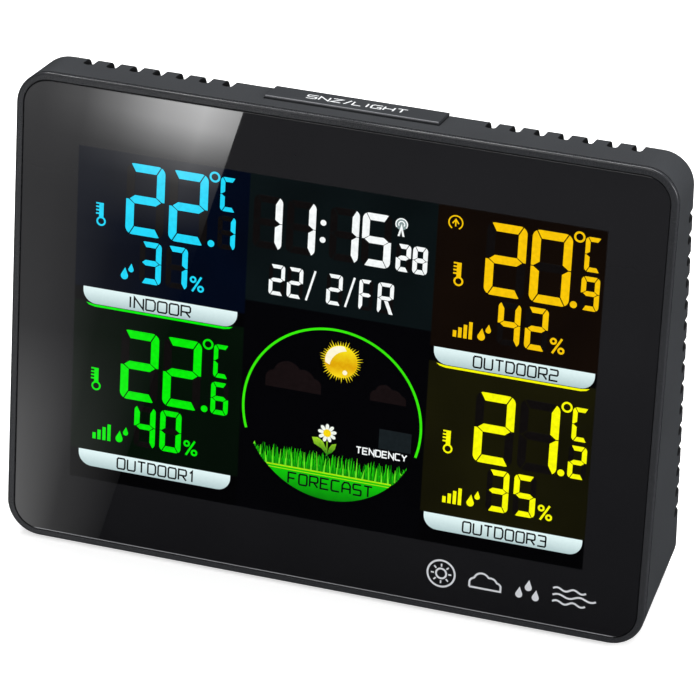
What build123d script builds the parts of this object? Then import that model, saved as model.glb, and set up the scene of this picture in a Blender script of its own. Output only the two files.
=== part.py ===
"""Home weather station: a wedge-shaped desk unit with a large colour LCD behind a gloss lens.

Millimetres. +X is the viewer's right, +Y points away from the viewer and +Z is up. The unit stands
on four rubber feet at Z = 0 and its front leans back. Depths are measured into the unit, square to
the front face; heights are measured up along the front face from its lower edge.
"""

import os
from math import cos, radians, sin, tan

from build123d import *

os.makedirs("parts", exist_ok=True)

# ---- Overall shape -----------------------------------------------------------------------------
front_width = 190.0
front_height = 140.7
depth_beyond_cell = 5.8  # at the top edge, added to the diameter of a battery
lean_angle = 15.5  # how far the front leans back from upright
rear_slope = 8.5  # angle between the rear face and the front face
side_draft = 1.0
top_dip = 1.5
front_corner = 10.0
deep_corner = 8.0  # corner radius at the deep end of the outline
loft_depth = 46.0  # deeper than the unit, trimmed by the rear face
rear_edge_round = 4.0
foot_height = 0.8

# ---- Walls and fits ----------------------------------------------------------------------------
wall = 2.2
thin_wall = 1.0  # housing wall where the frame's skirt slides inside it
fit = 0.15
slip = 0.1  # between stacked inner layers
button_gap = 0.4

# ---- Front frame, lens and display -------------------------------------------------------------
rim_width = 2.0
rim_depth = 1.5
rim_round = 0.6
shadow_gap = 0.3
lens_thickness = 1.3
tape_thickness = 0.15
lens_corner = 7.6
lens_gap = 0.2
tape_width = 8.0
plate_thickness = 1.6
skirt_wall = 1.6
skirt_length = 4.5
lcd_width = 158.0
lcd_border = 33.7  # display height short of the front's
lcd_thickness = 2.8
lcd_rise = 0.65  # display centre above the middle of the front
guide_inset = 4.0  # light guide inside the LCD's edges
guide_thickness = 3.0
sheet_thickness = 0.25
led_board_thickness = 1.0
led_thickness = 1.4
led_size = 3.0
leds_per_side = 8
holder_wall = 2.6
holder_back = 1.2
connector_width = 2.2
connector_inset = 9.0

# ---- Circuit boards ----------------------------------------------------------------------------
board_thickness = 1.6
board_gap = 0.8  # main board behind the display holder
board_margin = 1.0
board_side_inset = 5.0  # inside the LCD's sides
board_screw_inset = 6.0
board_screw_drop = 7.5  # inside the display's top and bottom edges

# ---- Grip notches round the rear edge ----------------------------------------------------------
notch_width = 3.0
notch_depth = 2.6
notch_length = 7.8
top_notch_pitch = 6.85
top_notch_start = 13.1  # from the end of the bar to the first notch
top_notch_margin = 15.0
side_notch_pitch = 6.72
side_notch_drop = 15.9  # from the top
side_notch_margin = 30.0

# ---- Top bar button ----------------------------------------------------------------------------
bar_width = 49.8
bar_front = 7.8  # from the front edge, along the top
bar_back = 18.4
bar_raise = 0.8
bar_travel = 1.0
bar_flange = 1.4
bar_flange_thickness = 1.2
bar_switch_x = 15.0
bar_plunger = 0.8
bar_post_reach = 7.1  # beyond the ends of the bar
bar_post_radius = 2.6
bar_board_reach = 4.0  # beyond the posts
bar_board_width = 7.0
bar_board_shift = 1.2  # behind the middle of the bar

# ---- Rear buttons ------------------------------------------------------------------------------
rear_button_names = ["set", "mode", "up", "down", "channel", "alarm"]
rear_button_pitch = 19.0
rear_button_rise = 9.0  # above the label
rear_button_length = 12.0
rear_button_width = 6.4
rear_button_raise = 0.9
rear_button_travel = 0.8
rear_button_gap = 0.3
rear_button_flange = 1.2
rear_button_flange_thickness = 1.0
rear_button_stem = 2.0

# ---- Tactile switches --------------------------------------------------------------------------
switch_size = 6.0
switch_body = 3.5
switch_plunger_radius = 1.7
switch_clearance = 0.25

# ---- Battery bay -------------------------------------------------------------------------------
cell_radius = 7.1
cell_length = 49.2
cell_nub_radius = 2.6
cell_nub_length = 1.1
cell_count = 3
cell_spacing = 0.8
bay_width = 57.0
bay_bottom = 19.0  # up the rear face
bay_wall = 1.5
bay_floor = 1.3
bay_clearance = 0.4
door_thickness = 1.8
door_lap = 3.0
door_gap = 0.35
tongue_width = 12.0
tongue_length = 9.0
tongue_slit = 0.8
latch_nib = 0.2
grip_width = 22.0
grip_height = 1.2
grip_pitch = 2.6
grip_count = 5
grip_depth = 0.5
rib_length = 14.0
scoop_width = 16.0
scoop_height = 7.0
scoop_depth = 1.2
contact_thickness = 0.4
contact_size = 11.0
spring_radius = 3.4
spring_wire = 0.35
spring_turns = 3

# ---- Screws ------------------------------------------------------------------------------------
case_screw_inset = 9.0
case_screw_low = 14.5
case_screw_drop = 14.2
case_post_radius = 3.0
case_boss_radius = 3.9
case_post_low_depth = 20.0
case_post_high_depth = 11.5
case_seat = 3.0  # housing left under the screw head
case_head_radius = 2.5
case_head_height = 2.0
case_head_clearance = 0.3
case_shank_radius = 1.3
case_shank_length = 9.0
small_shank_radius = 0.9
small_head_radius = 1.9
small_head_height = 1.3
small_shank_length = 3.4
screw_slack = 0.1
holder_ear_reach = 7.0
holder_ear_rise = 26.0
holder_ear_radius = 3.2
holder_ear_thickness = 1.6
holder_ear_depth = 6.0
holder_ear_bridge = 0.97  # share of the way out to an ear, where the square joining it sits
holder_post_radius = 2.4

# ---- Power inlet, sound holes, vents, feet and label --------------------------------------------
jack_inset = 31.0
jack_height = 32.0
jack_radius = 2.85
jack_pin_radius = 1.0
jack_width = 9.0
jack_tall = 11.0
jack_length = 13.0
jack_bore_depth = 9.5
jack_hole_radius = 3.6
jack_wall = 1.4
jack_board_width = 14.0
jack_post_spread = 13.0
sensor_depth = 7.0
sensor_post_gap = 6.0  # above the vents
sensor_width = 20.0
sensor_tall = 26.0
sensor_element = 7.0
sensor_element_thickness = 2.5
foot_radius = 4.5
foot_recess = 1.0
foot_inset = 19.0
foot_front = 12.5  # behind the front lower edge, along the base
foot_rear = 31.0
label_width = 52.0
label_height = 18.0
label_thickness = 0.2
label_rise = 5.6  # above the battery door
buzzer_inset = 20.0
buzzer_rise = 5.0
buzzer_radius = 7.0
buzzer_thickness = 6.5
sound_hole_radius = 0.8
sound_hole_pitch = 3.2
vent_inset = 29.0
vent_height = 34.0
vent_width = 1.6
vent_length = 15.0
vent_pitch = 4.0
vent_count = 6

# ---- Small parts on the main board -------------------------------------------------------------
chip_rise = 7.0  # above the display's centre, as are the other rises here
chip_radius = 8.0
chip_thickness = 1.6
small_row_rise = -7.5
small_row_pitch = 5.0
small_row_count = 10
small_part_length = 2.0
small_part_width = 1.25
small_part_height = 0.8
# share of the board's half width, rise, radius and length of each upright component
round_components = [
    (-0.3, 9.0, 3.15, 6.0),
    (-0.42, 9.0, 2.5, 5.0),
    (0.3, 11.0, 1.5, 6.5),
    (0.43, 9.0, 4.0, 6.5),
]
radio_inset = 18.0
radio_rise = -9.0
radio_width = 24.0
radio_tall = 32.0
radio_thickness = 1.0
radio_standoff = 2.5
radio_pin_row = 16.8
radio_pin_width = 2.5
radio_part_height = 1.2
aerial_radius = 2.6
aerial_length = 9.0
rod_inset = 28.0
rod_drop = 8.5  # below the display's top edge
rod_depth = 17.0
rod_radius = 3.0
rod_length = 38.0
rod_clip_spread = 15.0
coil_thickness = 0.8
coil_length = 20.0

# ---- Values that follow ------------------------------------------------------------------------
lean = radians(lean_angle)
slope = radians(rear_slope)
draft = radians(side_draft)
dip = radians(top_dip)
rear_lean = lean - slope
top_lean = lean + dip
top_depth = 2 * cell_radius + depth_beyond_cell
rear_origin_depth = top_depth + front_height * tan(slope)
top_length = top_depth / (cos(dip) - sin(dip) * tan(slope))
band = notch_depth + wall
band_depth = notch_length + wall

lcd_height = front_height - lcd_border
lcd_center_height = front_height / 2 + lcd_rise
guide_width = lcd_width - 2 * guide_inset
guide_height = lcd_height - 2 * guide_inset
connector_length = lcd_width - 2 * connector_inset
board_half_width = lcd_width / 2 - board_side_inset
board_screw_x = board_half_width - board_screw_inset
board_screw_rise = lcd_height / 2 - board_screw_drop
chip_height = lcd_center_height + chip_rise
small_row_height = lcd_center_height + small_row_rise
radio_x = radio_inset - board_half_width
radio_height = lcd_center_height + radio_rise
rod_x = rod_inset - board_half_width
rod_height = lcd_center_height + lcd_height / 2 - rod_drop
buzzer_x = board_half_width - buzzer_inset
buzzer_height = lcd_center_height + buzzer_rise
holder_ear_x = lcd_width / 2 + holder_ear_reach
bar_post_x = bar_width / 2 + bar_post_reach
bar_board_half_width = bar_post_x + bar_board_reach
case_screw_x = front_width / 2 - case_screw_inset
case_screw_high = front_height - case_screw_drop
foot_x = front_width / 2 - foot_inset
jack_x = front_width / 2 - jack_inset
vent_x = vent_inset - front_width / 2
top_notch_first = bar_width / 2 + top_notch_start
top_notch_count = 1 + int((front_width / 2 - top_notch_margin - top_notch_first) / top_notch_pitch)
side_notch_top = front_height - side_notch_drop
side_notch_count = 1 + int((side_notch_top - side_notch_margin) / side_notch_pitch)

lens_width = front_width - 2 * (rim_width + lens_gap)
lens_height = front_height - 2 * (rim_width + lens_gap)
seat_depth = lens_thickness + tape_thickness
plate_back = seat_depth + plate_thickness
skirt_end = rim_depth + skirt_length
housing_front = rim_depth + shadow_gap
lcd_front = seat_depth + slip
lcd_back = lcd_front + lcd_thickness
sheet_front = lcd_back + slip
guide_front = sheet_front + sheet_thickness + slip
guide_back = guide_front + guide_thickness
reflector_front = guide_back + slip
holder_inner = reflector_front + sheet_thickness + slip
holder_end = holder_inner + holder_back
board_front = holder_end + board_gap
board_back = board_front + board_thickness
board_half_height = lcd_height / 2 + board_margin

cell_pitch = 2 * cell_radius + cell_spacing
bay_height = cell_count * cell_pitch + bay_clearance
bay_middle = bay_bottom + bay_height / 2
bay_depth = door_thickness + 2 * cell_radius + 2 * bay_clearance
door_width = bay_width + 2 * door_lap
door_height = bay_height + 2 * door_lap
label_center_height = bay_middle + door_height / 2 + label_rise + label_height / 2
rear_button_height = label_center_height + label_height / 2 + rear_button_rise

jack_post_points = [(jack_x, jack_height - jack_post_spread), (jack_x, jack_height + jack_post_spread)]
sensor_post = (vent_x, vent_height + vent_length / 2 + sensor_post_gap)
foot_points = [(side * foot_x, along) for side in (-1, 1) for along in (foot_front, foot_rear)]
sound_hole_point = (buzzer_x, buzzer_height / cos(slope))


def leaning_plane(origin, angle):
    """Plane whose normal faces the viewer and tips up by angle, with Y running up it."""
    return Plane(origin=origin, x_dir=(1, 0, 0), z_dir=(0, -cos(angle), sin(angle)))


def rear_of(front_plane):
    """Plane of the rear face, with its normal pointing into the unit."""
    origin = front_plane.from_local_coords((0, 0, -rear_origin_depth))
    return leaning_plane(origin, rear_lean)


def at(plane, x, y, z=0.0):
    """The same plane with its origin moved to a point given in its own coordinates."""
    origin = plane.from_local_coords((x, y, z))
    return Plane(origin=origin, x_dir=plane.x_dir, z_dir=plane.z_dir)


def flipped(plane):
    """The same place, facing the other way."""
    return Plane(origin=plane.origin, x_dir=plane.x_dir, z_dir=plane.z_dir * -1)


def outline(front_plane, depth, inset):
    """Rounded outline of the unit at a depth behind its front, every side moved in by inset."""
    top = front_height - depth * tan(dip) - inset
    bottom = depth * tan(lean) + inset / cos(lean)
    width = front_width - 2 * (depth * tan(draft) + inset)
    corner = front_corner + (deep_corner - front_corner) * depth / loft_depth - inset
    with BuildSketch(front_plane.offset(-depth)) as profile:
        with Locations((0, (top + bottom) / 2)):
            RectangleRounded(width, top - bottom, max(corner, 1.0))
    return profile.sketch.face()


def slab(front_plane, inset, start, end):
    """The tapering outline between two depths."""
    with BuildPart() as block:
        loft([outline(front_plane, start, inset), outline(front_plane, end, inset)], ruled=True)
    return block.part


def wedge(front_plane, inset, start, rear_inset, rounding=0.0):
    """The tapering outline from a depth to the sloping rear face, with an optional rear rounding."""
    rear_plane = rear_of(front_plane).offset(rear_inset)
    with BuildPart() as block:
        add(slab(front_plane, inset, start, loft_depth))
        split(bisect_by=rear_plane, keep=Keep.TOP)
        if rounding:
            inward = Axis(rear_plane.origin, rear_plane.z_dir)
            fillet(block.faces().sort_by(inward)[0].edges(), radius=rounding)
    return block.part


def front_face(block, front_plane):
    """The face of a block nearest the viewer."""
    outward = Axis(front_plane.origin, front_plane.z_dir)
    return block.faces().sort_by(outward)[-1]


def screws(places, shank_radius, shank_length, head_radius, head_height):
    """Cross-head screws, one for each plane at the underside of a head and facing out of it."""
    slot = head_radius * 0.28
    with BuildPart() as group:
        with Locations(*places):
            Cylinder(shank_radius, shank_length, align=(Align.CENTER, Align.CENTER, Align.MAX))
            Cylinder(head_radius, head_height, align=(Align.CENTER, Align.CENTER, Align.MIN))
            with Locations((0, 0, head_height)):
                Box(head_radius * 1.2, slot, head_height, mode=Mode.SUBTRACT)
                Box(slot, head_radius * 1.2, head_height, mode=Mode.SUBTRACT)
    return group.part


def tact_switches(places, plunger_length):
    """Square tactile switches, one for each plane on the face of a board."""
    with BuildPart() as group:
        with Locations(*places):
            Box(switch_size, switch_size, switch_body, align=(Align.CENTER, Align.CENTER, Align.MIN))
            with Locations((0, 0, switch_body)):
                Cylinder(
                    switch_plunger_radius,
                    plunger_length,
                    align=(Align.CENTER, Align.CENTER, Align.MIN),
                )
    return group.part


def save(piece, label):
    """Name a finished piece and write it out."""
    piece.label = label
    export_step(piece, f"parts/{label}.step")


# ---- Where the unit stands ---------------------------------------------------------------------
# A trial of the outer shape gives the depth of its footprint, so the origin can sit at its middle.
trial_plane = leaning_plane((0, 0, foot_height), lean)
with BuildPart() as trial:
    add(wedge(trial_plane, 0, 0, 0, rear_edge_round))
    fillet(front_face(trial, trial_plane).edges(), radius=rim_round)
footprint_middle = trial.part.bounding_box().center().Y

base = Plane.XY.offset(foot_height).shift_origin((0, -footprint_middle, foot_height))
front = leaning_plane(base.origin, lean)
rear = rear_of(front)
top = Plane(
    origin=front.from_local_coords((0, front_height, 0)),
    x_dir=(1, 0, 0),
    z_dir=(0, sin(top_lean), cos(top_lean)),
)
outer_shape = wedge(front, 0, housing_front, 0, rear_edge_round)

lens_middle = front_height / 2
case_screw_points = [
    (side * case_screw_x, height, depth)
    for side in (-1, 1)
    for height, depth in (
        (case_screw_low, case_post_low_depth),
        (case_screw_high, case_post_high_depth),
    )
]
holder_ear_points = [
    (side * holder_ear_x, lcd_center_height + rise * holder_ear_rise)
    for side in (-1, 1)
    for rise in (-1, 1)
]
board_screw_points = [
    (side * board_screw_x, lcd_center_height + rise * board_screw_rise)
    for side in (-1, 1)
    for rise in (-1, 1)
]

# ---- Front frame -------------------------------------------------------------------------------
with BuildPart() as front_frame:
    add(slab(front, 0, 0, rim_depth))
    fillet(front_face(front_frame, front).edges(), radius=rim_round)
    add(slab(front, thin_wall + fit, rim_depth, skirt_end))
    add(slab(front, thin_wall + fit + skirt_wall, plate_back, skirt_end + 1), mode=Mode.SUBTRACT)
    for x, height, depth in case_screw_points:
        with BuildSketch(front.offset(-plate_back)):
            with Locations((x, height)):
                Circle(case_post_radius)
        extrude(amount=-(depth - plate_back))
        with BuildSketch(front.offset(-depth)):
            with Locations((x, height)):
                Circle(case_shank_radius + screw_slack)
        extrude(amount=case_shank_length, mode=Mode.SUBTRACT)
    with BuildSketch(front.offset(-plate_back)):
        with Locations(*holder_ear_points):
            Circle(holder_post_radius)
    extrude(amount=-(holder_ear_depth - plate_back))
    with BuildSketch(front.offset(-holder_ear_depth)):
        with Locations(*holder_ear_points):
            Circle(small_shank_radius + screw_slack)
    extrude(amount=small_shank_length, mode=Mode.SUBTRACT)
    with BuildSketch(front.offset(-seat_depth)):
        with Locations((0, lens_middle)):
            RectangleRounded(lens_width + 2 * lens_gap, lens_height + 2 * lens_gap, lens_corner + lens_gap)
    extrude(amount=seat_depth + 1, mode=Mode.SUBTRACT)
    with BuildSketch(front.offset(-plate_back - 1)):
        with Locations((0, lcd_center_height)):
            Rectangle(lcd_width + 2 * fit, lcd_height + 2 * fit)
    extrude(amount=plate_thickness + 2, mode=Mode.SUBTRACT)
save(front_frame.part, "front_frame")

# ---- Lens and the tape that holds it -----------------------------------------------------------
with BuildPart() as lens_window:
    with BuildSketch(front):
        with Locations((0, lens_middle)):
            RectangleRounded(lens_width, lens_height, lens_corner)
    extrude(amount=-lens_thickness)
    chamfer(front_face(lens_window, front).edges(), length=0.2)
save(lens_window.part, "lens_window")

with BuildPart() as lens_tape:
    with BuildSketch(front.offset(-lens_thickness)):
        with Locations((0, lens_middle)):
            RectangleRounded(lens_width - 1, lens_height - 1, lens_corner - 0.5)
        with Locations((0, lcd_center_height)):
            Rectangle(lens_width - 2 * tape_width, lens_height - 2 * tape_width, mode=Mode.SUBTRACT)
    extrude(amount=-tape_thickness)
save(lens_tape.part, "lens_tape")

# ---- Display stack -----------------------------------------------------------------------------
with BuildPart() as lcd_panel:
    with BuildSketch(front.offset(-lcd_front)):
        with Locations((0, lcd_center_height)):
            Rectangle(lcd_width, lcd_height)
    extrude(amount=-lcd_thickness)
save(lcd_panel.part, "lcd_panel")

with BuildPart() as diffuser_sheet:
    with BuildSketch(front.offset(-sheet_front)):
        with Locations((0, lcd_center_height)):
            Rectangle(guide_width, guide_height)
    extrude(amount=-sheet_thickness)
save(diffuser_sheet.part, "diffuser_sheet")

with BuildPart() as light_guide:
    with BuildSketch(front.offset(-guide_front)):
        with Locations((0, lcd_center_height)):
            Rectangle(guide_width, guide_height)
    extrude(amount=-guide_thickness)
save(light_guide.part, "light_guide")

with BuildPart() as reflector_sheet:
    with BuildSketch(front.offset(-reflector_front)):
        with Locations((0, lcd_center_height)):
            Rectangle(guide_width, guide_height)
    extrude(amount=-sheet_thickness)
save(reflector_sheet.part, "reflector_sheet")

led_x = guide_width / 2 + slip
led_pitch = guide_height / leds_per_side
with BuildPart() as backlight_leds:
    with BuildSketch(front.offset(-guide_front)):
        for side in (-1, 1):
            with Locations((side * (led_x + led_thickness / 2), lcd_center_height)):
                with GridLocations(1, led_pitch, 1, leds_per_side):
                    Rectangle(led_thickness, led_size)
    extrude(amount=-guide_thickness)
save(backlight_leds.part, "backlight_leds")

led_board_x = led_x + led_thickness + led_board_thickness / 2
with BuildPart() as backlight_boards:
    with BuildSketch(front.offset(-guide_front)):
        for side in (-1, 1):
            with Locations((side * led_board_x, lcd_center_height)):
                Rectangle(led_board_thickness, guide_height)
    extrude(amount=-guide_thickness)
save(backlight_boards.part, "backlight_boards")

pocket_width = 2 * (led_x + led_thickness + led_board_thickness + fit)
connector_y = (guide_height + lcd_height) / 4
with BuildPart() as display_holder:
    with BuildSketch(front.offset(-plate_back - slip)):
        with Locations((0, lcd_center_height)):
            Rectangle(lcd_width + 2 * (fit + holder_wall), lcd_height + 2 * (fit + holder_wall))
    extrude(amount=-(holder_end - plate_back - slip))
    for x, height in holder_ear_points:
        with BuildSketch(front.offset(-holder_ear_depth)):
            with Locations((x, height)):
                Circle(holder_ear_radius)
            with Locations((x * holder_ear_bridge, height)):
                Rectangle(holder_ear_radius * 2, holder_ear_radius * 2)
        extrude(amount=-holder_ear_thickness)
    with BuildSketch(front.offset(-holder_ear_depth + 1)):
        with Locations(*holder_ear_points):
            Circle(small_shank_radius + screw_slack)
    extrude(amount=-(holder_ear_thickness + 2), mode=Mode.SUBTRACT)
    with BuildSketch(front.offset(-holder_end)):
        with Locations(*board_screw_points):
            Circle(small_head_radius + 0.6)
    extrude(amount=-(board_gap - slip))
    with BuildSketch(front.offset(-plate_back)):
        with Locations((0, lcd_center_height)):
            Rectangle(lcd_width + 2 * fit, lcd_height + 2 * fit)
    extrude(amount=-(lcd_back + slip - plate_back), mode=Mode.SUBTRACT)
    with BuildSketch(front.offset(-plate_back)):
        with Locations((0, lcd_center_height)):
            Rectangle(pocket_width, guide_height + 2 * fit)
    extrude(amount=-(holder_inner - plate_back), mode=Mode.SUBTRACT)
    with BuildSketch(front.offset(-plate_back)):
        with Locations((0, lcd_center_height)):
            with GridLocations(1, 2 * connector_y, 1, 2):
                Rectangle(connector_length + 2 * fit, connector_width + 2 * fit)
        with Locations(*board_screw_points):
            Circle(small_shank_radius + screw_slack)
    extrude(amount=-(board_front - plate_back), mode=Mode.SUBTRACT)
save(display_holder.part, "display_holder")

with BuildPart() as contact_strips:
    with BuildSketch(front.offset(-lcd_back)):
        with Locations((0, lcd_center_height)):
            with GridLocations(1, 2 * connector_y, 1, 2):
                Rectangle(connector_length, connector_width)
    extrude(amount=-(board_front - lcd_back))
save(contact_strips.part, "contact_strips")

# ---- Main board and what is soldered to it -----------------------------------------------------
board_face = front.offset(-board_back)  # rear face of the board, drawn as seen from the front
with BuildPart() as main_board:
    with BuildSketch(front.offset(-board_front)):
        with Locations((0, lcd_center_height)):
            Rectangle(2 * board_half_width, 2 * board_half_height)
        with Locations(*board_screw_points):
            Circle(small_shank_radius + screw_slack, mode=Mode.SUBTRACT)
    extrude(amount=-board_thickness)
save(main_board.part, "main_board")

with BuildPart() as controller_chip:
    with BuildSketch(board_face):
        with Locations((0, chip_height)):
            Circle(chip_radius)
    extrude(amount=-chip_thickness)
    fillet(controller_chip.edges().sort_by(Axis(front.origin, front.z_dir))[0], radius=0.8 * chip_thickness)
save(controller_chip.part, "controller_chip")

with BuildPart() as board_components:
    for share, rise, radius, length in round_components:
        with BuildSketch(board_face):
            with Locations((share * board_half_width, lcd_center_height + rise)):
                Circle(radius)
        extrude(amount=-length)
    with BuildSketch(board_face):
        with Locations((0, small_row_height)):
            with GridLocations(small_row_pitch, small_row_pitch, small_row_count, 2):
                Rectangle(small_part_length, small_part_width)
    extrude(amount=-small_part_height)
save(board_components.part, "board_components")

with BuildPart() as buzzer:
    with BuildSketch(board_face):
        with Locations((buzzer_x, buzzer_height)):
            Circle(buzzer_radius)
    extrude(amount=-buzzer_thickness)
    fillet(buzzer.edges().sort_by(Axis(front.origin, front.z_dir))[0], radius=0.6)
    with BuildSketch(board_face.offset(-buzzer_thickness)):
        with Locations((buzzer_x, buzzer_height)):
            Circle(1.0)
    extrude(amount=3.0, mode=Mode.SUBTRACT)
save(buzzer.part, "buzzer")

# ---- Radio receiver and its two aerials --------------------------------------------------------
with BuildPart() as radio_board:
    with BuildSketch(board_face.offset(-radio_standoff)):
        with Locations((radio_x, radio_height)):
            Rectangle(radio_width, radio_tall)
    extrude(amount=-radio_thickness)
    with BuildSketch(board_face):
        with Locations((radio_x, radio_height - radio_tall / 2 + radio_pin_width)):
            Rectangle(radio_pin_row, radio_pin_width)
    extrude(amount=-radio_standoff)
    with BuildSketch(board_face.offset(-radio_standoff - radio_thickness)):
        with Locations((radio_x - 4, radio_height - 4)):
            Rectangle(6, 6)
        with Locations((radio_x + 6, radio_height - 6)):
            Rectangle(4, 8)
    extrude(amount=-radio_part_height)
save(radio_board.part, "radio_board")

aerial_plane = at(board_face, radio_x, radio_height + 3, -radio_standoff - radio_thickness)
with BuildPart() as radio_aerial:
    with BuildSketch(aerial_plane):
        Circle(aerial_radius)
        Circle(aerial_radius - 0.9, mode=Mode.SUBTRACT)
    extrude(amount=-aerial_length)
save(radio_aerial.part, "radio_aerial")

rod_axis_plane = Plane(
    origin=front.from_local_coords((rod_x, rod_height, -rod_depth)), x_dir=front.y_dir, z_dir=(1, 0, 0)
)
with BuildPart() as ferrite_rod:
    with BuildSketch(rod_axis_plane):
        Circle(rod_radius)
    extrude(amount=rod_length / 2, both=True)
save(ferrite_rod.part, "ferrite_rod")

with BuildPart() as aerial_coil:
    with BuildSketch(rod_axis_plane):
        Circle(rod_radius + coil_thickness)
        Circle(rod_radius, mode=Mode.SUBTRACT)
    extrude(amount=coil_length / 2, both=True)
save(aerial_coil.part, "aerial_coil")

with BuildPart() as aerial_clips:
    for side in (-1, 1):
        with BuildSketch(board_face):
            with Locations((rod_x + side * rod_clip_spread, rod_height)):
                Rectangle(3.0, 2 * rod_radius + 2.4)
        extrude(amount=-(rod_depth - board_back))
    with BuildSketch(rod_axis_plane):
        Circle(rod_radius)
    extrude(amount=rod_length, both=True, mode=Mode.SUBTRACT)
save(aerial_clips.part, "aerial_clips")

# ---- Rear housing ------------------------------------------------------------------------------
side_plane = Plane(
    origin=rear.from_local_coords((front_width / 2 - notch_depth, 0, 0)),
    x_dir=rear.z_dir,
    z_dir=(-1, 0, 0),
)
with BuildPart() as side_notches:
    with BuildSketch(side_plane):
        for step in range(side_notch_count):
            with Locations((0, side_notch_top - step * side_notch_pitch)):
                SlotOverall(2 * notch_length, notch_width)
    extrude(amount=-2 * notch_depth)
    mirror(about=Plane.YZ)

with BuildPart() as top_notches:
    with BuildSketch(top.offset(-notch_depth)):
        for step in range(top_notch_count):
            with Locations((top_notch_first + step * top_notch_pitch, top_length)):
                SlotOverall(2 * notch_length, notch_width, rotation=90)
    extrude(amount=2 * notch_depth)
    mirror(about=Plane.YZ)

with BuildPart() as case_bosses:
    for x, height, depth in case_screw_points:
        with BuildSketch(front.offset(-depth - slip)):
            with Locations((x, height)):
                Circle(case_boss_radius)
        extrude(amount=-loft_depth)
    add(outer_shape, mode=Mode.INTERSECT)

jack_seat = wall + slip
jack_end = jack_seat + jack_length
jack_board_front = jack_end + slip
bar_middle = (bar_front + bar_back) / 2
bar_length = bar_back - bar_front
bar_board_middle = bar_middle + bar_board_shift
bar_flange_top = band + 0.2
bar_flange_bottom = bar_flange_top + bar_flange_thickness
bar_board_top = bar_flange_bottom + bar_travel + switch_clearance + bar_plunger + switch_body
rear_button_points = [
    ((index - (len(rear_button_names) - 1) / 2) * rear_button_pitch, rear_button_height)
    for index in range(len(rear_button_names))
]

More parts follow.
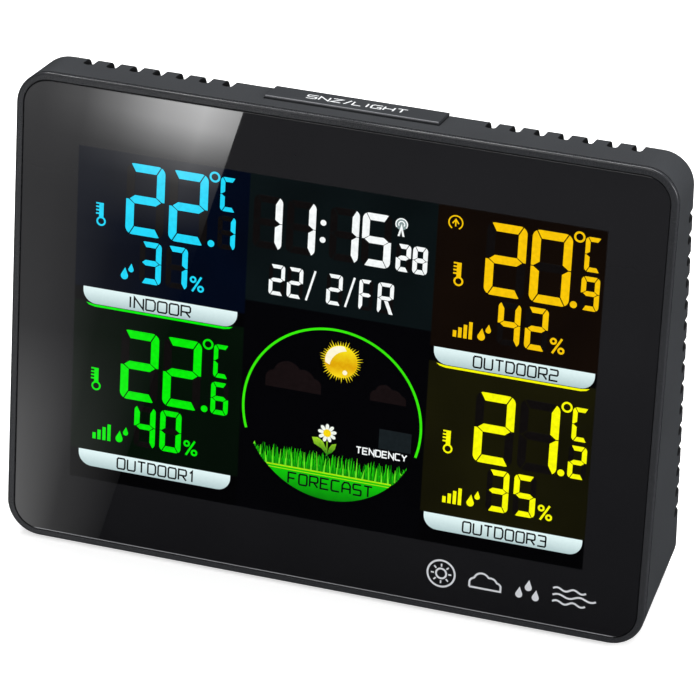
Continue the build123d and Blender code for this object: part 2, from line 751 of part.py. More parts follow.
with BuildPart() as rear_housing:
    add(outer_shape)
    add(wedge(front, wall, 0, band_depth), mode=Mode.SUBTRACT)
    add(wedge(front, band, 0, wall), mode=Mode.SUBTRACT)
    add(slab(front, thin_wall, 0, skirt_end + shadow_gap), mode=Mode.SUBTRACT)
    add(case_bosses.part)
    # posts for the bar button's switch board
    with BuildSketch(top.offset(-bar_board_top)):
        with Locations((-bar_post_x, bar_board_middle), (bar_post_x, bar_board_middle)):
            Circle(bar_post_radius)
    extrude(amount=bar_board_top - wall / 2)
    with BuildSketch(top.offset(-bar_board_top)):
        with Locations((-bar_post_x, bar_board_middle), (bar_post_x, bar_board_middle)):
            Circle(small_shank_radius + screw_slack)
    extrude(amount=small_shank_length + 1, mode=Mode.SUBTRACT)
    # battery bay: ledge for the door, then the bay itself
    with BuildSketch(rear.offset(wall / 2)):
        with Locations((0, bay_middle)):
            Rectangle(door_width + 2 * (door_gap + bay_wall), door_height + 2 * (door_gap + bay_wall))
    extrude(amount=door_thickness + bay_wall + slip - wall / 2)
    with BuildSketch(rear.offset(wall / 2)):
        with Locations((0, bay_middle)):
            Rectangle(bay_width + 2 * bay_wall, bay_height + 2 * bay_wall)
    extrude(amount=bay_depth + bay_floor - wall / 2)
    with BuildSketch(rear.offset(-1)):
        with Locations((0, bay_middle)):
            Rectangle(door_width + 2 * door_gap, door_height + 2 * door_gap)
    extrude(amount=1 + door_thickness + slip, mode=Mode.SUBTRACT)
    with BuildSketch(rear):
        with Locations((0, bay_middle)):
            Rectangle(bay_width, bay_height)
    extrude(amount=bay_depth, mode=Mode.SUBTRACT)
    # finger scoop above the door
    with BuildSketch(rear.offset(-1)):
        with Locations((0, bay_middle + door_height / 2 + door_gap)):
            SlotOverall(scoop_width, scoop_height)
    extrude(amount=1 + scoop_depth, mode=Mode.SUBTRACT)
    # cradle round the power inlet and posts for its board
    with BuildSketch(rear.offset(wall / 2)):
        with Locations((jack_x, jack_height)):
            Rectangle(jack_width + 2 * (fit + jack_wall), jack_tall + 2 * (fit + jack_wall))
    extrude(amount=jack_end - 2 - wall / 2)
    with BuildSketch(rear.offset(jack_seat - slip)):
        with Locations((jack_x, jack_height)):
            Rectangle(jack_width + 2 * fit, jack_tall + 2 * fit)
    extrude(amount=jack_length, mode=Mode.SUBTRACT)
    with BuildSketch(rear.offset(wall / 2)):
        with Locations(*jack_post_points):
            Circle(bar_post_radius)
    extrude(amount=jack_board_front - wall / 2)
    with BuildSketch(rear.offset(jack_board_front)):
        with Locations(*jack_post_points):
            Circle(small_shank_radius + screw_slack)
    extrude(amount=-small_shank_length, mode=Mode.SUBTRACT)
    with BuildSketch(rear.offset(-1)):
        with Locations((jack_x, jack_height)):
            Circle(jack_hole_radius)
    extrude(amount=2 + wall, mode=Mode.SUBTRACT)
    # post for the climate sensor
    with BuildSketch(rear.offset(wall / 2)):
        with Locations(sensor_post):
            Circle(bar_post_radius)
    extrude(amount=sensor_depth - wall / 2)
    with BuildSketch(rear.offset(sensor_depth)):
        with Locations(sensor_post):
            Circle(small_shank_radius + screw_slack)
    extrude(amount=-small_shank_length, mode=Mode.SUBTRACT)
    # openings in the rear wall: buttons, sound holes and vents
    with BuildSketch(rear.offset(-1)):
        with Locations(*rear_button_points):
            SlotOverall(
                rear_button_length + 2 * rear_button_gap,
                rear_button_width + 2 * rear_button_gap,
            )
        with Locations(sound_hole_point):
            with HexLocations(sound_hole_pitch / 2, 3, 3):
                Circle(sound_hole_radius)
        with Locations((vent_x, vent_height)):
            with GridLocations(vent_pitch, 1, vent_count, 1):
                SlotOverall(vent_length, vent_width, rotation=90)
    extrude(amount=1 + wall + slip, mode=Mode.SUBTRACT)
    # shallow pocket for the label
    with BuildSketch(rear):
        with Locations((0, label_center_height)):
            Rectangle(label_width + 2 * fit, label_height + 2 * fit)
    extrude(amount=label_thickness, mode=Mode.SUBTRACT)
    # opening for the bar button
    with BuildSketch(top.offset(-band - slip)):
        with Locations((0, bar_middle)):
            Rectangle(bar_width + 2 * button_gap, bar_length + 2 * button_gap)
    extrude(amount=band + 1, mode=Mode.SUBTRACT)
    # counterbored holes for the case screws
    for x, height, depth in case_screw_points:
        with BuildSketch(front.offset(-depth)):
            with Locations((x, height)):
                Circle(case_shank_radius + 2 * screw_slack)
        extrude(amount=-(case_seat + 1), mode=Mode.SUBTRACT)
        with BuildSketch(front.offset(-depth - slip - case_seat)):
            with Locations((x, height)):
                Circle(case_head_radius + case_head_clearance)
        extrude(amount=-loft_depth, mode=Mode.SUBTRACT)
    # recesses for the feet
    with BuildSketch(base):
        with Locations(*foot_points):
            Circle(foot_radius + slip)
    extrude(amount=foot_recess, mode=Mode.SUBTRACT)
    add(side_notches.part, mode=Mode.SUBTRACT)
    add(top_notches.part, mode=Mode.SUBTRACT)
save(rear_housing.part, "rear_housing")

# ---- Battery door ------------------------------------------------------------------------------
with BuildPart() as battery_door:
    with BuildSketch(rear):
        with Locations((0, bay_middle)):
            Rectangle(door_width, door_height)
    extrude(amount=door_thickness)
    with BuildSketch(rear.offset(-1)):
        with Locations((0, bay_middle + (door_height - tongue_length) / 2)):
            with GridLocations(tongue_width + tongue_slit, 1, 2, 1):
                Rectangle(tongue_slit, tongue_length)
    extrude(amount=2 + door_thickness, mode=Mode.SUBTRACT)
    with BuildSketch(rear.offset(door_thickness / 2)):
        with Locations((0, bay_middle + door_height / 2)):
            Rectangle(tongue_width - 4, 2 * latch_nib)
    extrude(amount=door_thickness / 2)
    with BuildSketch(rear):
        with Locations((0, bay_middle - door_height / 6)):
            with GridLocations(1, grip_pitch, 1, grip_count):
                SlotOverall(grip_width, grip_height)
    extrude(amount=grip_depth, mode=Mode.SUBTRACT)
    with BuildSketch(rear.offset(door_thickness)):
        with Locations((0, bay_middle)):
            with GridLocations(bay_width / 2, cell_pitch, 2, 2):
                Rectangle(rib_length, 1.0)
    extrude(amount=bay_clearance / 2)
save(battery_door.part, "battery_door")

# ---- Cells and their contacts ------------------------------------------------------------------
cell_depth = door_thickness + bay_clearance + cell_radius
contact_x = bay_width / 2 - contact_thickness
spring_length = 2 * contact_x - cell_length - cell_nub_length - 2 * slip
for index in range(cell_count):
    facing = 1 if index % 2 == 0 else -1
    cell_height = bay_middle + (index - (cell_count - 1) / 2) * cell_pitch
    nub_plane = Plane(
        origin=rear.from_local_coords((facing * (contact_x - slip), cell_height, cell_depth)),
        x_dir=rear.y_dir,
        z_dir=(-facing, 0, 0),
    )
    with BuildPart() as cell:
        with BuildSketch(nub_plane):
            Circle(cell_nub_radius)
        extrude(amount=cell_nub_length + 1)
        with BuildSketch(nub_plane.offset(cell_nub_length)):
            Circle(cell_radius)
        extrude(amount=cell_length)
        fillet(cell.edges().filter_by(GeomType.CIRCLE).sort_by(SortBy.RADIUS)[-2:], radius=0.6)
    save(cell.part, f"battery_{index + 1}")

with BuildPart() as battery_springs:
    for index in range(cell_count):
        facing = 1 if index % 2 == 0 else -1
        cell_height = bay_middle + (index - (cell_count - 1) / 2) * cell_pitch
        spring_foot = rear.from_local_coords((-facing * (contact_x - spring_wire - slip), cell_height, cell_depth))
        spring_rise = spring_length - 2 * spring_wire - 2 * slip
        with BuildLine() as coil:
            Helix(
                pitch=spring_rise / spring_turns,
                height=spring_rise,
                radius=spring_radius,
                center=spring_foot,
                direction=(facing, 0, 0),
            )
        with BuildSketch(Plane(origin=coil.line @ 0, z_dir=coil.line % 0)):
            Circle(spring_wire)
        sweep(path=coil.line, is_frenet=True)
save(battery_springs.part, "battery_springs")

with BuildPart() as battery_contacts:
    with BuildSketch(rear.offset(cell_depth - contact_size / 2)):
        for side in (-1, 1):
            with Locations((side * (contact_x + contact_thickness / 2), bay_middle)):
                with GridLocations(1, cell_pitch, 1, cell_count):
                    Rectangle(contact_thickness, contact_size)
    extrude(amount=contact_size)
save(battery_contacts.part, "battery_contacts")

# ---- Bar button on top -------------------------------------------------------------------------
with BuildPart() as bar_button:
    add(wedge(front, -bar_raise, housing_front, -bar_raise, rear_edge_round + bar_raise))
    with BuildSketch(top.offset(-bar_flange_top)):
        with Locations((0, bar_middle)):
            Rectangle(bar_width, bar_length)
    extrude(amount=bar_flange_top + 2 * bar_raise, mode=Mode.INTERSECT)
    upward = Axis(top.origin, top.z_dir)
    chamfer(bar_button.edges().filter_by(Axis.X).group_by(upward)[-1], length=0.3)
    with BuildSketch(top.offset(-bar_flange_bottom)):
        with Locations((0, bar_middle - bar_flange / 2)):
            Rectangle(bar_width + 2 * bar_flange, bar_length + bar_flange)
    extrude(amount=bar_flange_thickness)
    with BuildSketch(top.offset(-bar_flange_bottom)):
        with Locations((0, bar_middle)):
            Rectangle(2 * bar_switch_x - switch_size, bar_length - 3)
    extrude(amount=bar_flange_bottom - 1.5, mode=Mode.SUBTRACT)
save(bar_button.part, "bar_button")

bar_board_plane = top.offset(-bar_board_top)
with BuildPart() as bar_switch_board:
    with BuildSketch(bar_board_plane):
        with Locations((0, bar_board_middle)):
            Rectangle(2 * bar_board_half_width, bar_board_width)
        with Locations((-bar_post_x, bar_board_middle), (bar_post_x, bar_board_middle)):
            Circle(small_shank_radius + screw_slack, mode=Mode.SUBTRACT)
    extrude(amount=-board_thickness)
save(bar_switch_board.part, "bar_switch_board")

bar_switch_places = [at(bar_board_plane, side * bar_switch_x, bar_board_middle) for side in (-1, 1)]
save(tact_switches(bar_switch_places, bar_plunger), "bar_switches")

# ---- Rear buttons and their switches -----------------------------------------------------------
rear_plunger = 1.5
plunger_tip = board_back + switch_body + rear_plunger
tip_gap = rear_button_travel + switch_clearance + rear_button_stem * sin(slope)
stem_end = (rear_origin_depth - rear_button_height * sin(slope) - plunger_tip - tip_gap) / cos(slope)
switch_height = rear_button_height * cos(slope) - stem_end * sin(slope)
for name, (x, height) in zip(rear_button_names, rear_button_points):
    with BuildPart() as rear_button:
        with BuildSketch(rear.offset(-rear_button_raise)):
            with Locations((x, height)):
                SlotOverall(rear_button_length, rear_button_width)
        extrude(amount=rear_button_raise + wall + 2 * slip)
        fillet(rear_button.edges().group_by(Axis(rear.origin, rear.z_dir))[0], radius=0.5)
        with BuildSketch(rear.offset(wall + 2 * slip)):
            with Locations((x, height)):
                SlotOverall(
                    rear_button_length + 2 * rear_button_flange,
                    rear_button_width + 2 * rear_button_flange,
                )
        extrude(amount=rear_button_flange_thickness)
        with BuildSketch(rear.offset(wall)):
            with Locations((x, height)):
                Circle(rear_button_stem)
        extrude(amount=stem_end - wall)
    save(rear_button.part, f"button_{name}")

rear_switch_places = [
    flipped(at(front, x, switch_height, -board_back)) for x, height in rear_button_points
]
save(tact_switches(rear_switch_places, rear_plunger), "rear_switches")

# ---- Power inlet -------------------------------------------------------------------------------
with BuildPart() as power_jack:
    with BuildSketch(rear.offset(jack_seat)):
        with Locations((jack_x, jack_height)):
            Rectangle(jack_width, jack_tall)
    extrude(amount=jack_length)
    with BuildSketch(rear.offset(jack_seat)):
        with Locations((jack_x, jack_height)):
            Circle(jack_radius)
            Circle(jack_pin_radius, mode=Mode.SUBTRACT)
    extrude(amount=jack_bore_depth, mode=Mode.SUBTRACT)
save(power_jack.part, "power_jack")

with BuildPart() as jack_board:
    with BuildSketch(rear.offset(jack_board_front)):
        with Locations((jack_x, jack_height)):
            Rectangle(jack_board_width, 2 * (jack_post_spread + bar_post_radius))
        with Locations(*jack_post_points):
            Circle(small_shank_radius + screw_slack, mode=Mode.SUBTRACT)
    extrude(amount=board_thickness)
save(jack_board.part, "jack_board")

# ---- Indoor climate sensor ---------------------------------------------------------------------
sensor_middle = sensor_post[1] + bar_post_radius - sensor_tall / 2
with BuildPart() as sensor_board:
    with BuildSketch(rear.offset(sensor_depth)):
        with Locations((vent_x, sensor_middle)):
            Rectangle(sensor_width, sensor_tall)
        with Locations(sensor_post):
            Circle(small_shank_radius + screw_slack, mode=Mode.SUBTRACT)
    extrude(amount=board_thickness)
save(sensor_board.part, "sensor_board")

with BuildPart() as climate_sensor:
    with BuildSketch(rear.offset(sensor_depth)):
        with Locations((vent_x, vent_height)):
            Rectangle(sensor_element, sensor_element)
    extrude(amount=-sensor_element_thickness)
    with BuildSketch(rear.offset(sensor_depth - sensor_element_thickness)):
        with Locations((vent_x, vent_height)):
            with GridLocations(1, 1.8, 1, 3):
                Rectangle(sensor_element - 2, 0.8)
    extrude(amount=0.6, mode=Mode.SUBTRACT)
save(climate_sensor.part, "climate_sensor")

# ---- Label and feet ----------------------------------------------------------------------------
with BuildPart() as rating_label:
    with BuildSketch(rear):
        with Locations((0, label_center_height)):
            Rectangle(label_width, label_height)
    extrude(amount=label_thickness)
save(rating_label.part, "rating_label")

with BuildPart() as rubber_feet:
    with BuildSketch(base.offset(-foot_height)):
        with Locations(*foot_points):
            Circle(foot_radius)
    extrude(amount=foot_height + foot_recess)
    chamfer(rubber_feet.edges().group_by(Axis.Z)[0], length=0.3)
save(rubber_feet.part, "rubber_feet")

# ---- Fasteners ---------------------------------------------------------------------------------
case_places = [
    flipped(at(front, x, height, -(depth + slip + case_seat))) for x, height, depth in case_screw_points
]
save(
    screws(case_places, case_shank_radius, case_shank_length, case_head_radius, case_head_height),
    "case_screws",
)
ear_places = [
    flipped(at(front, x, height, -(holder_ear_depth + holder_ear_thickness)))
    for x, height in holder_ear_points
]
board_places = [flipped(at(front, x, height, -board_back)) for x, height in board_screw_points]
bar_board_places = [
    flipped(at(top, side * bar_post_x, bar_board_middle, -bar_board_top - board_thickness)) for side in (-1, 1)
]
jack_board_places = [at(rear, x, height, jack_board_front + board_thickness) for x, height in jack_post_points]
sensor_places = [at(rear, *sensor_post, sensor_depth + board_thickness)]
for label, places in (
    ("holder_screws", ear_places),
    ("board_screws", board_places),
    ("bar_board_screws", bar_board_places),
    ("jack_board_screws", jack_board_places),
    ("sensor_screw", sensor_places),
):
    save(
        screws(places, small_shank_radius, small_shank_length, small_head_radius, small_head_height),
        label,
    )
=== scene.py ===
"""Looks for the home weather station: finishes, display graphics, printed signs, light and camera.

Sizes here are in millimetres on the unit's own faces and become metres as they are placed. On the
front face, across is measured from the middle and up from its lower edge. The rear face is the same.
"""

import random
from math import cos, pi, radians, sin, sqrt, tan

import bmesh
import bpy
from mathutils import Matrix, Vector


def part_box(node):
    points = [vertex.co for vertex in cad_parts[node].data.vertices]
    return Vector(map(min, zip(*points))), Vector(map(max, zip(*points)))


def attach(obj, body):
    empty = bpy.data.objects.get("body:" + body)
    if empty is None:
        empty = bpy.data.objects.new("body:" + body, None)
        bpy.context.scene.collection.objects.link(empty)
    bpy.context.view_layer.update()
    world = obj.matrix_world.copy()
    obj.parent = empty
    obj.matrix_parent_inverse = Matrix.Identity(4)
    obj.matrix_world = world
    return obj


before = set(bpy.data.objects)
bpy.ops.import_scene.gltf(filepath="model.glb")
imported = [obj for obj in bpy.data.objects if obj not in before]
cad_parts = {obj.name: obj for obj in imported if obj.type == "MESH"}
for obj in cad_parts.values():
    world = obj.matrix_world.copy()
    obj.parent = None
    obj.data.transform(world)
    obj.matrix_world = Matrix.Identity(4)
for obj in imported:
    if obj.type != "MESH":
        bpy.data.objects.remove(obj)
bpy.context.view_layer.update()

MM = 0.001

# ---- The unit's faces, from the CAD part --------------------------------------------------------
LEAN = radians(15.5)
REAR_LEAN = radians(7.0)
REAR_SLOPE = radians(8.5)
FRONT_HEIGHT = 140.7
TOP_DEPTH = 20.0
LENS_INSET = 2.2  # rim and gap, from the edge of the front to the lens
LENS_THICKNESS = 1.3

RIGHT = Vector((1, 0, 0))
FRONT_UP = Vector((0, sin(LEAN), cos(LEAN)))
FRONT_OUT = Vector((0, -cos(LEAN), sin(LEAN)))
REAR_UP = Vector((0, sin(REAR_LEAN), cos(REAR_LEAN)))
REAR_OUT = Vector((0, cos(REAR_LEAN), -sin(REAR_LEAN)))
TOP_UP = Vector((0, sin(radians(17.0)), cos(radians(17.0))))
TOP_BACK = Vector((0, cos(radians(17.0)), -sin(radians(17.0))))

lens_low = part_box("lens_window")[0]
lens_foot = Vector((0, lens_low.y, lens_low.z + LENS_THICKNESS * MM * sin(LEAN)))
FRONT_ORIGIN = lens_foot - LENS_INSET * MM * FRONT_UP
REAR_ORIGIN = FRONT_ORIGIN - (TOP_DEPTH + FRONT_HEIGHT * tan(REAR_SLOPE)) * MM * FRONT_OUT

# ---- Display layout -----------------------------------------------------------------------------
LCD_LEFT, LCD_RIGHT = -76.0, 76.4
LCD_LOW, LCD_TOP = 20.9, 121.1
LEFT_ZONE_EDGE = -25.4  # inner edge of the left channels
RIGHT_ZONE_EDGE = 28.75
LEFT_CHANNEL = -76.0
RIGHT_CHANNEL = 28.35
ROW_DROP = 49.75  # from the upper channels to the lower ones
LABEL_TOP = 79.6
PLATE_WIDTH, PLATE_HEIGHT = 45.9, 4.9
CLOCK_FOOT = 83.8

GHOST_RAISE = 0.05
INK_RAISE = 0.08
OVERLAY_RAISE = 0.12
INK_THICKNESS = 0.03

random.seed(11)


def linear(red, green, blue):
    """Linear colour from 0-255 screen values."""
    def channel(value):
        value /= 255
        return value / 12.92 if value <= 0.04045 else ((value + 0.055) / 1.055) ** 2.4
    return channel(red), channel(green), channel(blue), 1.0


def on_front(across, up, out=0.0):
    return FRONT_ORIGIN + MM * (across * RIGHT + up * FRONT_UP + out * FRONT_OUT)


def on_rear(across, up, out=0.0):
    """A point on the rear face. Across runs to the right of someone behind the unit."""
    return REAR_ORIGIN + MM * (-across * RIGHT + up * REAR_UP + out * REAR_OUT)


# ---- Materials ----------------------------------------------------------------------------------
class Nodes:
    """A short way of adding and joining a material's nodes."""

    def __init__(self, name):
        self.material = bpy.data.materials.new(name)
        self.material.use_nodes = True
        self.tree = self.material.node_tree
        self.shader = self.tree.nodes["Principled BSDF"]
        self.place = self.add("ShaderNodeTexCoord").outputs["Object"]

    def add(self, kind, **settings):
        node = self.tree.nodes.new(kind)
        for key, value in settings.items():
            setattr(node, key, value)
        return node

    def join(self, source, target):
        self.tree.links.new(source, target)

    def noise(self, size_mm, detail=3.0, stretch=None):
        """Noise from 0 to 1, with features about this size."""
        node = self.add("ShaderNodeTexNoise")
        node.inputs["Scale"].default_value = 1 / (size_mm * MM)
        node.inputs["Detail"].default_value = detail
        place = self.place
        if stretch:
            scaled = self.add("ShaderNodeVectorMath", operation="MULTIPLY")
            scaled.inputs[1].default_value = stretch
            self.join(place, scaled.inputs[0])
            place = scaled.outputs[0]
        self.join(place, node.inputs["Vector"])
        return node.outputs["Fac"]

    def ranged(self, source, low, high, to_low, to_high):
        node = self.add("ShaderNodeMapRange")
        for key, value in zip(("From Min", "From Max", "To Min", "To Max"), (low, high, to_low, to_high)):
            node.inputs[key].default_value = value
        self.join(source, node.inputs["Value"])
        return node.outputs["Result"]

    def maths(self, operation, first, second):
        node = self.add("ShaderNodeMath", operation=operation)
        for socket, value in zip(node.inputs, (first, second)):
            if isinstance(value, (int, float)):
                socket.default_value = value
            else:
                self.join(value, socket)
        return node.outputs[0]

    def along(self, direction, origin=Vector((0, 0, 0))):
        """Distance in millimetres from origin, along direction."""
        node = self.add("ShaderNodeVectorMath", operation="DOT_PRODUCT")
        node.inputs[1].default_value = direction / MM
        self.join(self.place, node.inputs[0])
        return self.maths("SUBTRACT", node.outputs["Value"], origin.dot(direction) / MM)

    def covers(self, source, low, high, soft=0.2):
        """One between low and high, and nothing outside."""
        return self.maths("MULTIPLY", self.ranged(source, low - soft, low + soft, 0, 1),
                          self.ranged(source, high - soft, high + soft, 1, 0))

    def ramp(self, source, stops, constant=False):
        node = self.add("ShaderNodeValToRGB")
        ramp = node.color_ramp
        ramp.interpolation = "CONSTANT" if constant else "LINEAR"
        while len(ramp.elements) < len(stops):
            ramp.elements.new(1.0)
        for element, (position, colour) in zip(ramp.elements, stops):
            element.position = position
            element.color = colour
        self.join(source, node.inputs["Fac"])
        return node.outputs["Color"]

    def painted_recess_shade(self, tone, reach_mm):
        """Painted shade: darkens the colour in grooves and inside corners, by how closed in they are."""
        shadow = self.add("ShaderNodeAmbientOcclusion", samples=8)
        shadow.inputs["Distance"].default_value = reach_mm * MM
        depth = self.ranged(shadow.outputs["AO"], 0.4, 0.92, 0.08, 1.0)
        scaled = self.add("ShaderNodeVectorMath", operation="SCALE")
        self.join(tone, scaled.inputs[0])
        self.join(depth, scaled.inputs["Scale"])
        return scaled.outputs[0]

    def bump(self, heights, distance_mm, strength, edge_mm=0.0):
        node = self.add("ShaderNodeBump")
        node.inputs["Strength"].default_value = strength
        node.inputs["Distance"].default_value = distance_mm * MM
        self.join(heights, node.inputs["Height"])
        if edge_mm:
            bevel = self.add("ShaderNodeBevel", samples=4)
            bevel.inputs["Radius"].default_value = edge_mm * MM
            self.join(bevel.outputs[0], node.inputs["Normal"])
        self.join(node.outputs[0], self.shader.inputs["Normal"])


def shade(colour, amount):
    return tuple(channel * amount for channel in colour[:3]) + (1.0,)


def finish(name, colour, rough, grain=0.4, depth=0.02, strength=0.3, mottle=0.12, mottle_size=18.0,
           rough_spread=0.06, edge=0.0, metallic=0.0, stretch=None, transmission=0.0, recess=0.0):
    """A moulded, pressed or drawn finish: grain in the surface, and slow changes of tone and gloss."""
    nodes = Nodes(name)
    shader = nodes.shader
    shader.inputs["Metallic"].default_value = metallic
    shader.inputs["Transmission Weight"].default_value = transmission
    slow = nodes.noise(mottle_size, 4.0)
    tone = nodes.ramp(slow, [(0.3, shade(colour, 1 - mottle)), (0.7, shade(colour, 1 + mottle))])
    # With a recess reach, painted shade darkens the colour in grooves and inside corners.
    if recess:
        tone = nodes.painted_recess_shade(tone, recess)
    nodes.join(tone, shader.inputs["Base Color"])
    fine = nodes.noise(grain, 4.0, stretch)
    gloss = nodes.ranged(fine, 0.3, 0.7, rough - rough_spread, rough + rough_spread)
    nodes.join(gloss, shader.inputs["Roughness"])
    nodes.bump(fine, depth, strength, edge)
    return nodes.material


def cell_wrap(name):
    """Printed sleeve of a dry cell: a dark band at one end and a bright ring between."""
    nodes = Nodes(name)
    across = nodes.along(RIGHT)
    share = nodes.ranged(across, -24.6, 24.6, 0.0, 1.0)
    wrap = nodes.ramp(share, [(0.0, linear(205, 208, 212)), (0.03, linear(26, 58, 104)),
                              (0.68, linear(210, 214, 218)), (0.72, linear(52, 56, 64)),
                              (0.965, linear(205, 208, 212))], constant=True)
    nodes.join(wrap, nodes.shader.inputs["Base Color"])
    nodes.shader.inputs["Metallic"].default_value = 0.35
    nodes.join(nodes.ranged(nodes.noise(0.8), 0.3, 0.7, 0.22, 0.34), nodes.shader.inputs["Roughness"])
    nodes.bump(nodes.noise(3.0), 0.02, 0.2)
    return nodes.material


def board_finish(name):
    """Green solder mask with fine tracks showing through it."""
    nodes = Nodes(name)
    tracks = nodes.add("ShaderNodeTexVoronoi", feature="DISTANCE_TO_EDGE", distance="MANHATTAN")
    tracks.inputs["Scale"].default_value = 1 / (3.2 * MM)
    nodes.join(nodes.place, tracks.inputs["Vector"])
    mask = nodes.ramp(tracks.outputs["Distance"], [(0.03, linear(46, 112, 58)), (0.08, linear(16, 66, 34))])
    nodes.join(mask, nodes.shader.inputs["Base Color"])
    nodes.join(nodes.ranged(nodes.noise(1.0), 0.3, 0.7, 0.3, 0.45), nodes.shader.inputs["Roughness"])
    nodes.bump(tracks.outputs["Distance"], 0.03, 0.4)
    return nodes.material


def lens_finish(name):
    """Black-printed gloss lens. Behind it each zone of the display has its own dim backlight."""
    nodes = Nodes(name)
    across = nodes.along(RIGHT, FRONT_ORIGIN)
    up = nodes.along(FRONT_UP, FRONT_ORIGIN)
    # left, right, low, high, backlight colour
    zones = [
        (LCD_LEFT, LEFT_ZONE_EDGE, CLOCK_FOOT - 4.3, LCD_TOP, linear(0, 5, 20)),
        (LEFT_ZONE_EDGE, RIGHT_ZONE_EDGE, CLOCK_FOOT, LCD_TOP, linear(8, 16, 17)),
        (LEFT_ZONE_EDGE, RIGHT_ZONE_EDGE, LCD_LOW, CLOCK_FOOT, linear(1, 1, 2)),
        (RIGHT_ZONE_EDGE, LCD_RIGHT, CLOCK_FOOT - 4.3, LCD_TOP, linear(15, 7, 2)),
        (LCD_LEFT, LEFT_ZONE_EDGE, LCD_LOW + 9.0, CLOCK_FOOT - 8.5, linear(2, 13, 3)),
        (RIGHT_ZONE_EDGE, LCD_RIGHT, LCD_LOW + 9.0, CLOCK_FOOT - 8.5, linear(21, 20, 3)),
    ]
    total = None
    for left, right, low, high, colour in zones:
        lit = nodes.add("ShaderNodeVectorMath", operation="SCALE")
        lit.inputs[0].default_value = colour[:3]
        inside = nodes.maths("MULTIPLY", nodes.covers(across, left, right), nodes.covers(up, low, high))
        nodes.join(inside, lit.inputs["Scale"])
        if total is None:
            total = lit.outputs[0]
        else:
            summed = nodes.add("ShaderNodeVectorMath", operation="ADD")
            nodes.join(total, summed.inputs[0])
            nodes.join(lit.outputs[0], summed.inputs[1])
            total = summed.outputs[0]
    uneven = nodes.add("ShaderNodeVectorMath", operation="SCALE")
    nodes.join(total, uneven.inputs[0])
    nodes.join(nodes.ranged(nodes.noise(26.0, 2.0), 0.3, 0.7, 0.7, 1.25), uneven.inputs["Scale"])
    nodes.join(uneven.outputs[0], nodes.shader.inputs["Emission Color"])
    nodes.shader.inputs["Emission Strength"].default_value = 1.0
    uneven_ink = nodes.ranged(nodes.noise(30.0), 0.3, 0.7, -0.1, 0.1)
    # Painted shading: the black print gets lighter towards the top of the lens, with a little random change.
    lens_painted_rise = nodes.maths("ADD", nodes.ranged(up, 5.0, 125.0, 0.0, 1.0), uneven_ink)
    tone = nodes.ramp(lens_painted_rise, [(0.0, linear(21, 21, 23)), (1.0, linear(32, 32, 34))])
    # Painted highlight: a light band along the lower edge of the lens, where its chamfer would catch the
    # light.
    lens_edge_highlight = nodes.add("ShaderNodeMix", data_type="RGBA")
    nodes.join(nodes.covers(up, LENS_INSET - 0.2, LENS_INSET + 0.35, 0.08), lens_edge_highlight.inputs["Factor"])
    nodes.join(tone, lens_edge_highlight.inputs["A"])
    lens_edge_highlight.inputs["B"].default_value = linear(150, 150, 153)
    tone = lens_edge_highlight.outputs["Result"]
    window = nodes.add("ShaderNodeMix", data_type="RGBA")
    over_lcd = nodes.maths("MULTIPLY", nodes.covers(across, LCD_LEFT, LCD_RIGHT),
                           nodes.covers(up, LCD_LOW, LCD_TOP))
    nodes.join(over_lcd, window.inputs["Factor"])
    nodes.join(tone, window.inputs["A"])
    window.inputs["B"].default_value = linear(2, 2, 3)
    nodes.join(window.outputs["Result"], nodes.shader.inputs["Base Color"])
    nodes.join(nodes.ranged(nodes.noise(9.0), 0.3, 0.7, 0.004, 0.014), nodes.shader.inputs["Roughness"])
    nodes.bump(nodes.noise(60.0, 1.0), 0.02, 0.015, 0.25)
    return nodes.material


def glow(name, colour, spread=0.08, low=None, high=None, low_colour=None, size=1.2, middle=None):
    """Lit ink of the display, seen through the gloss of the lens.

    With low and high, heights on the front face, it runs from low_colour up to colour.
    """
    nodes = Nodes(name)
    shader = nodes.shader
    shader.inputs["Base Color"].default_value = linear(4, 4, 4)
    if low is None:
        stops = [(0.3, shade(colour, 1 - spread)), (0.7, shade(colour, 1 + spread))]
        tone = nodes.ramp(nodes.noise(size), stops)
    else:
        up = nodes.along(FRONT_UP, FRONT_ORIGIN)
        mixed = nodes.maths("ADD", nodes.ranged(up, low, high, 0.0, 1.0),
                            nodes.ranged(nodes.noise(size), 0.3, 0.7, -spread, spread))
        between = [middle] if middle else []
        tone = nodes.ramp(mixed, [(0.0, low_colour)] + between + [(1.0, colour)])
    nodes.join(tone, shader.inputs["Emission Color"])
    shader.inputs["Emission Strength"].default_value = 1.0
    nodes.join(nodes.ranged(nodes.noise(9.0), 0.3, 0.7, 0.004, 0.014), shader.inputs["Roughness"])
    return nodes.material


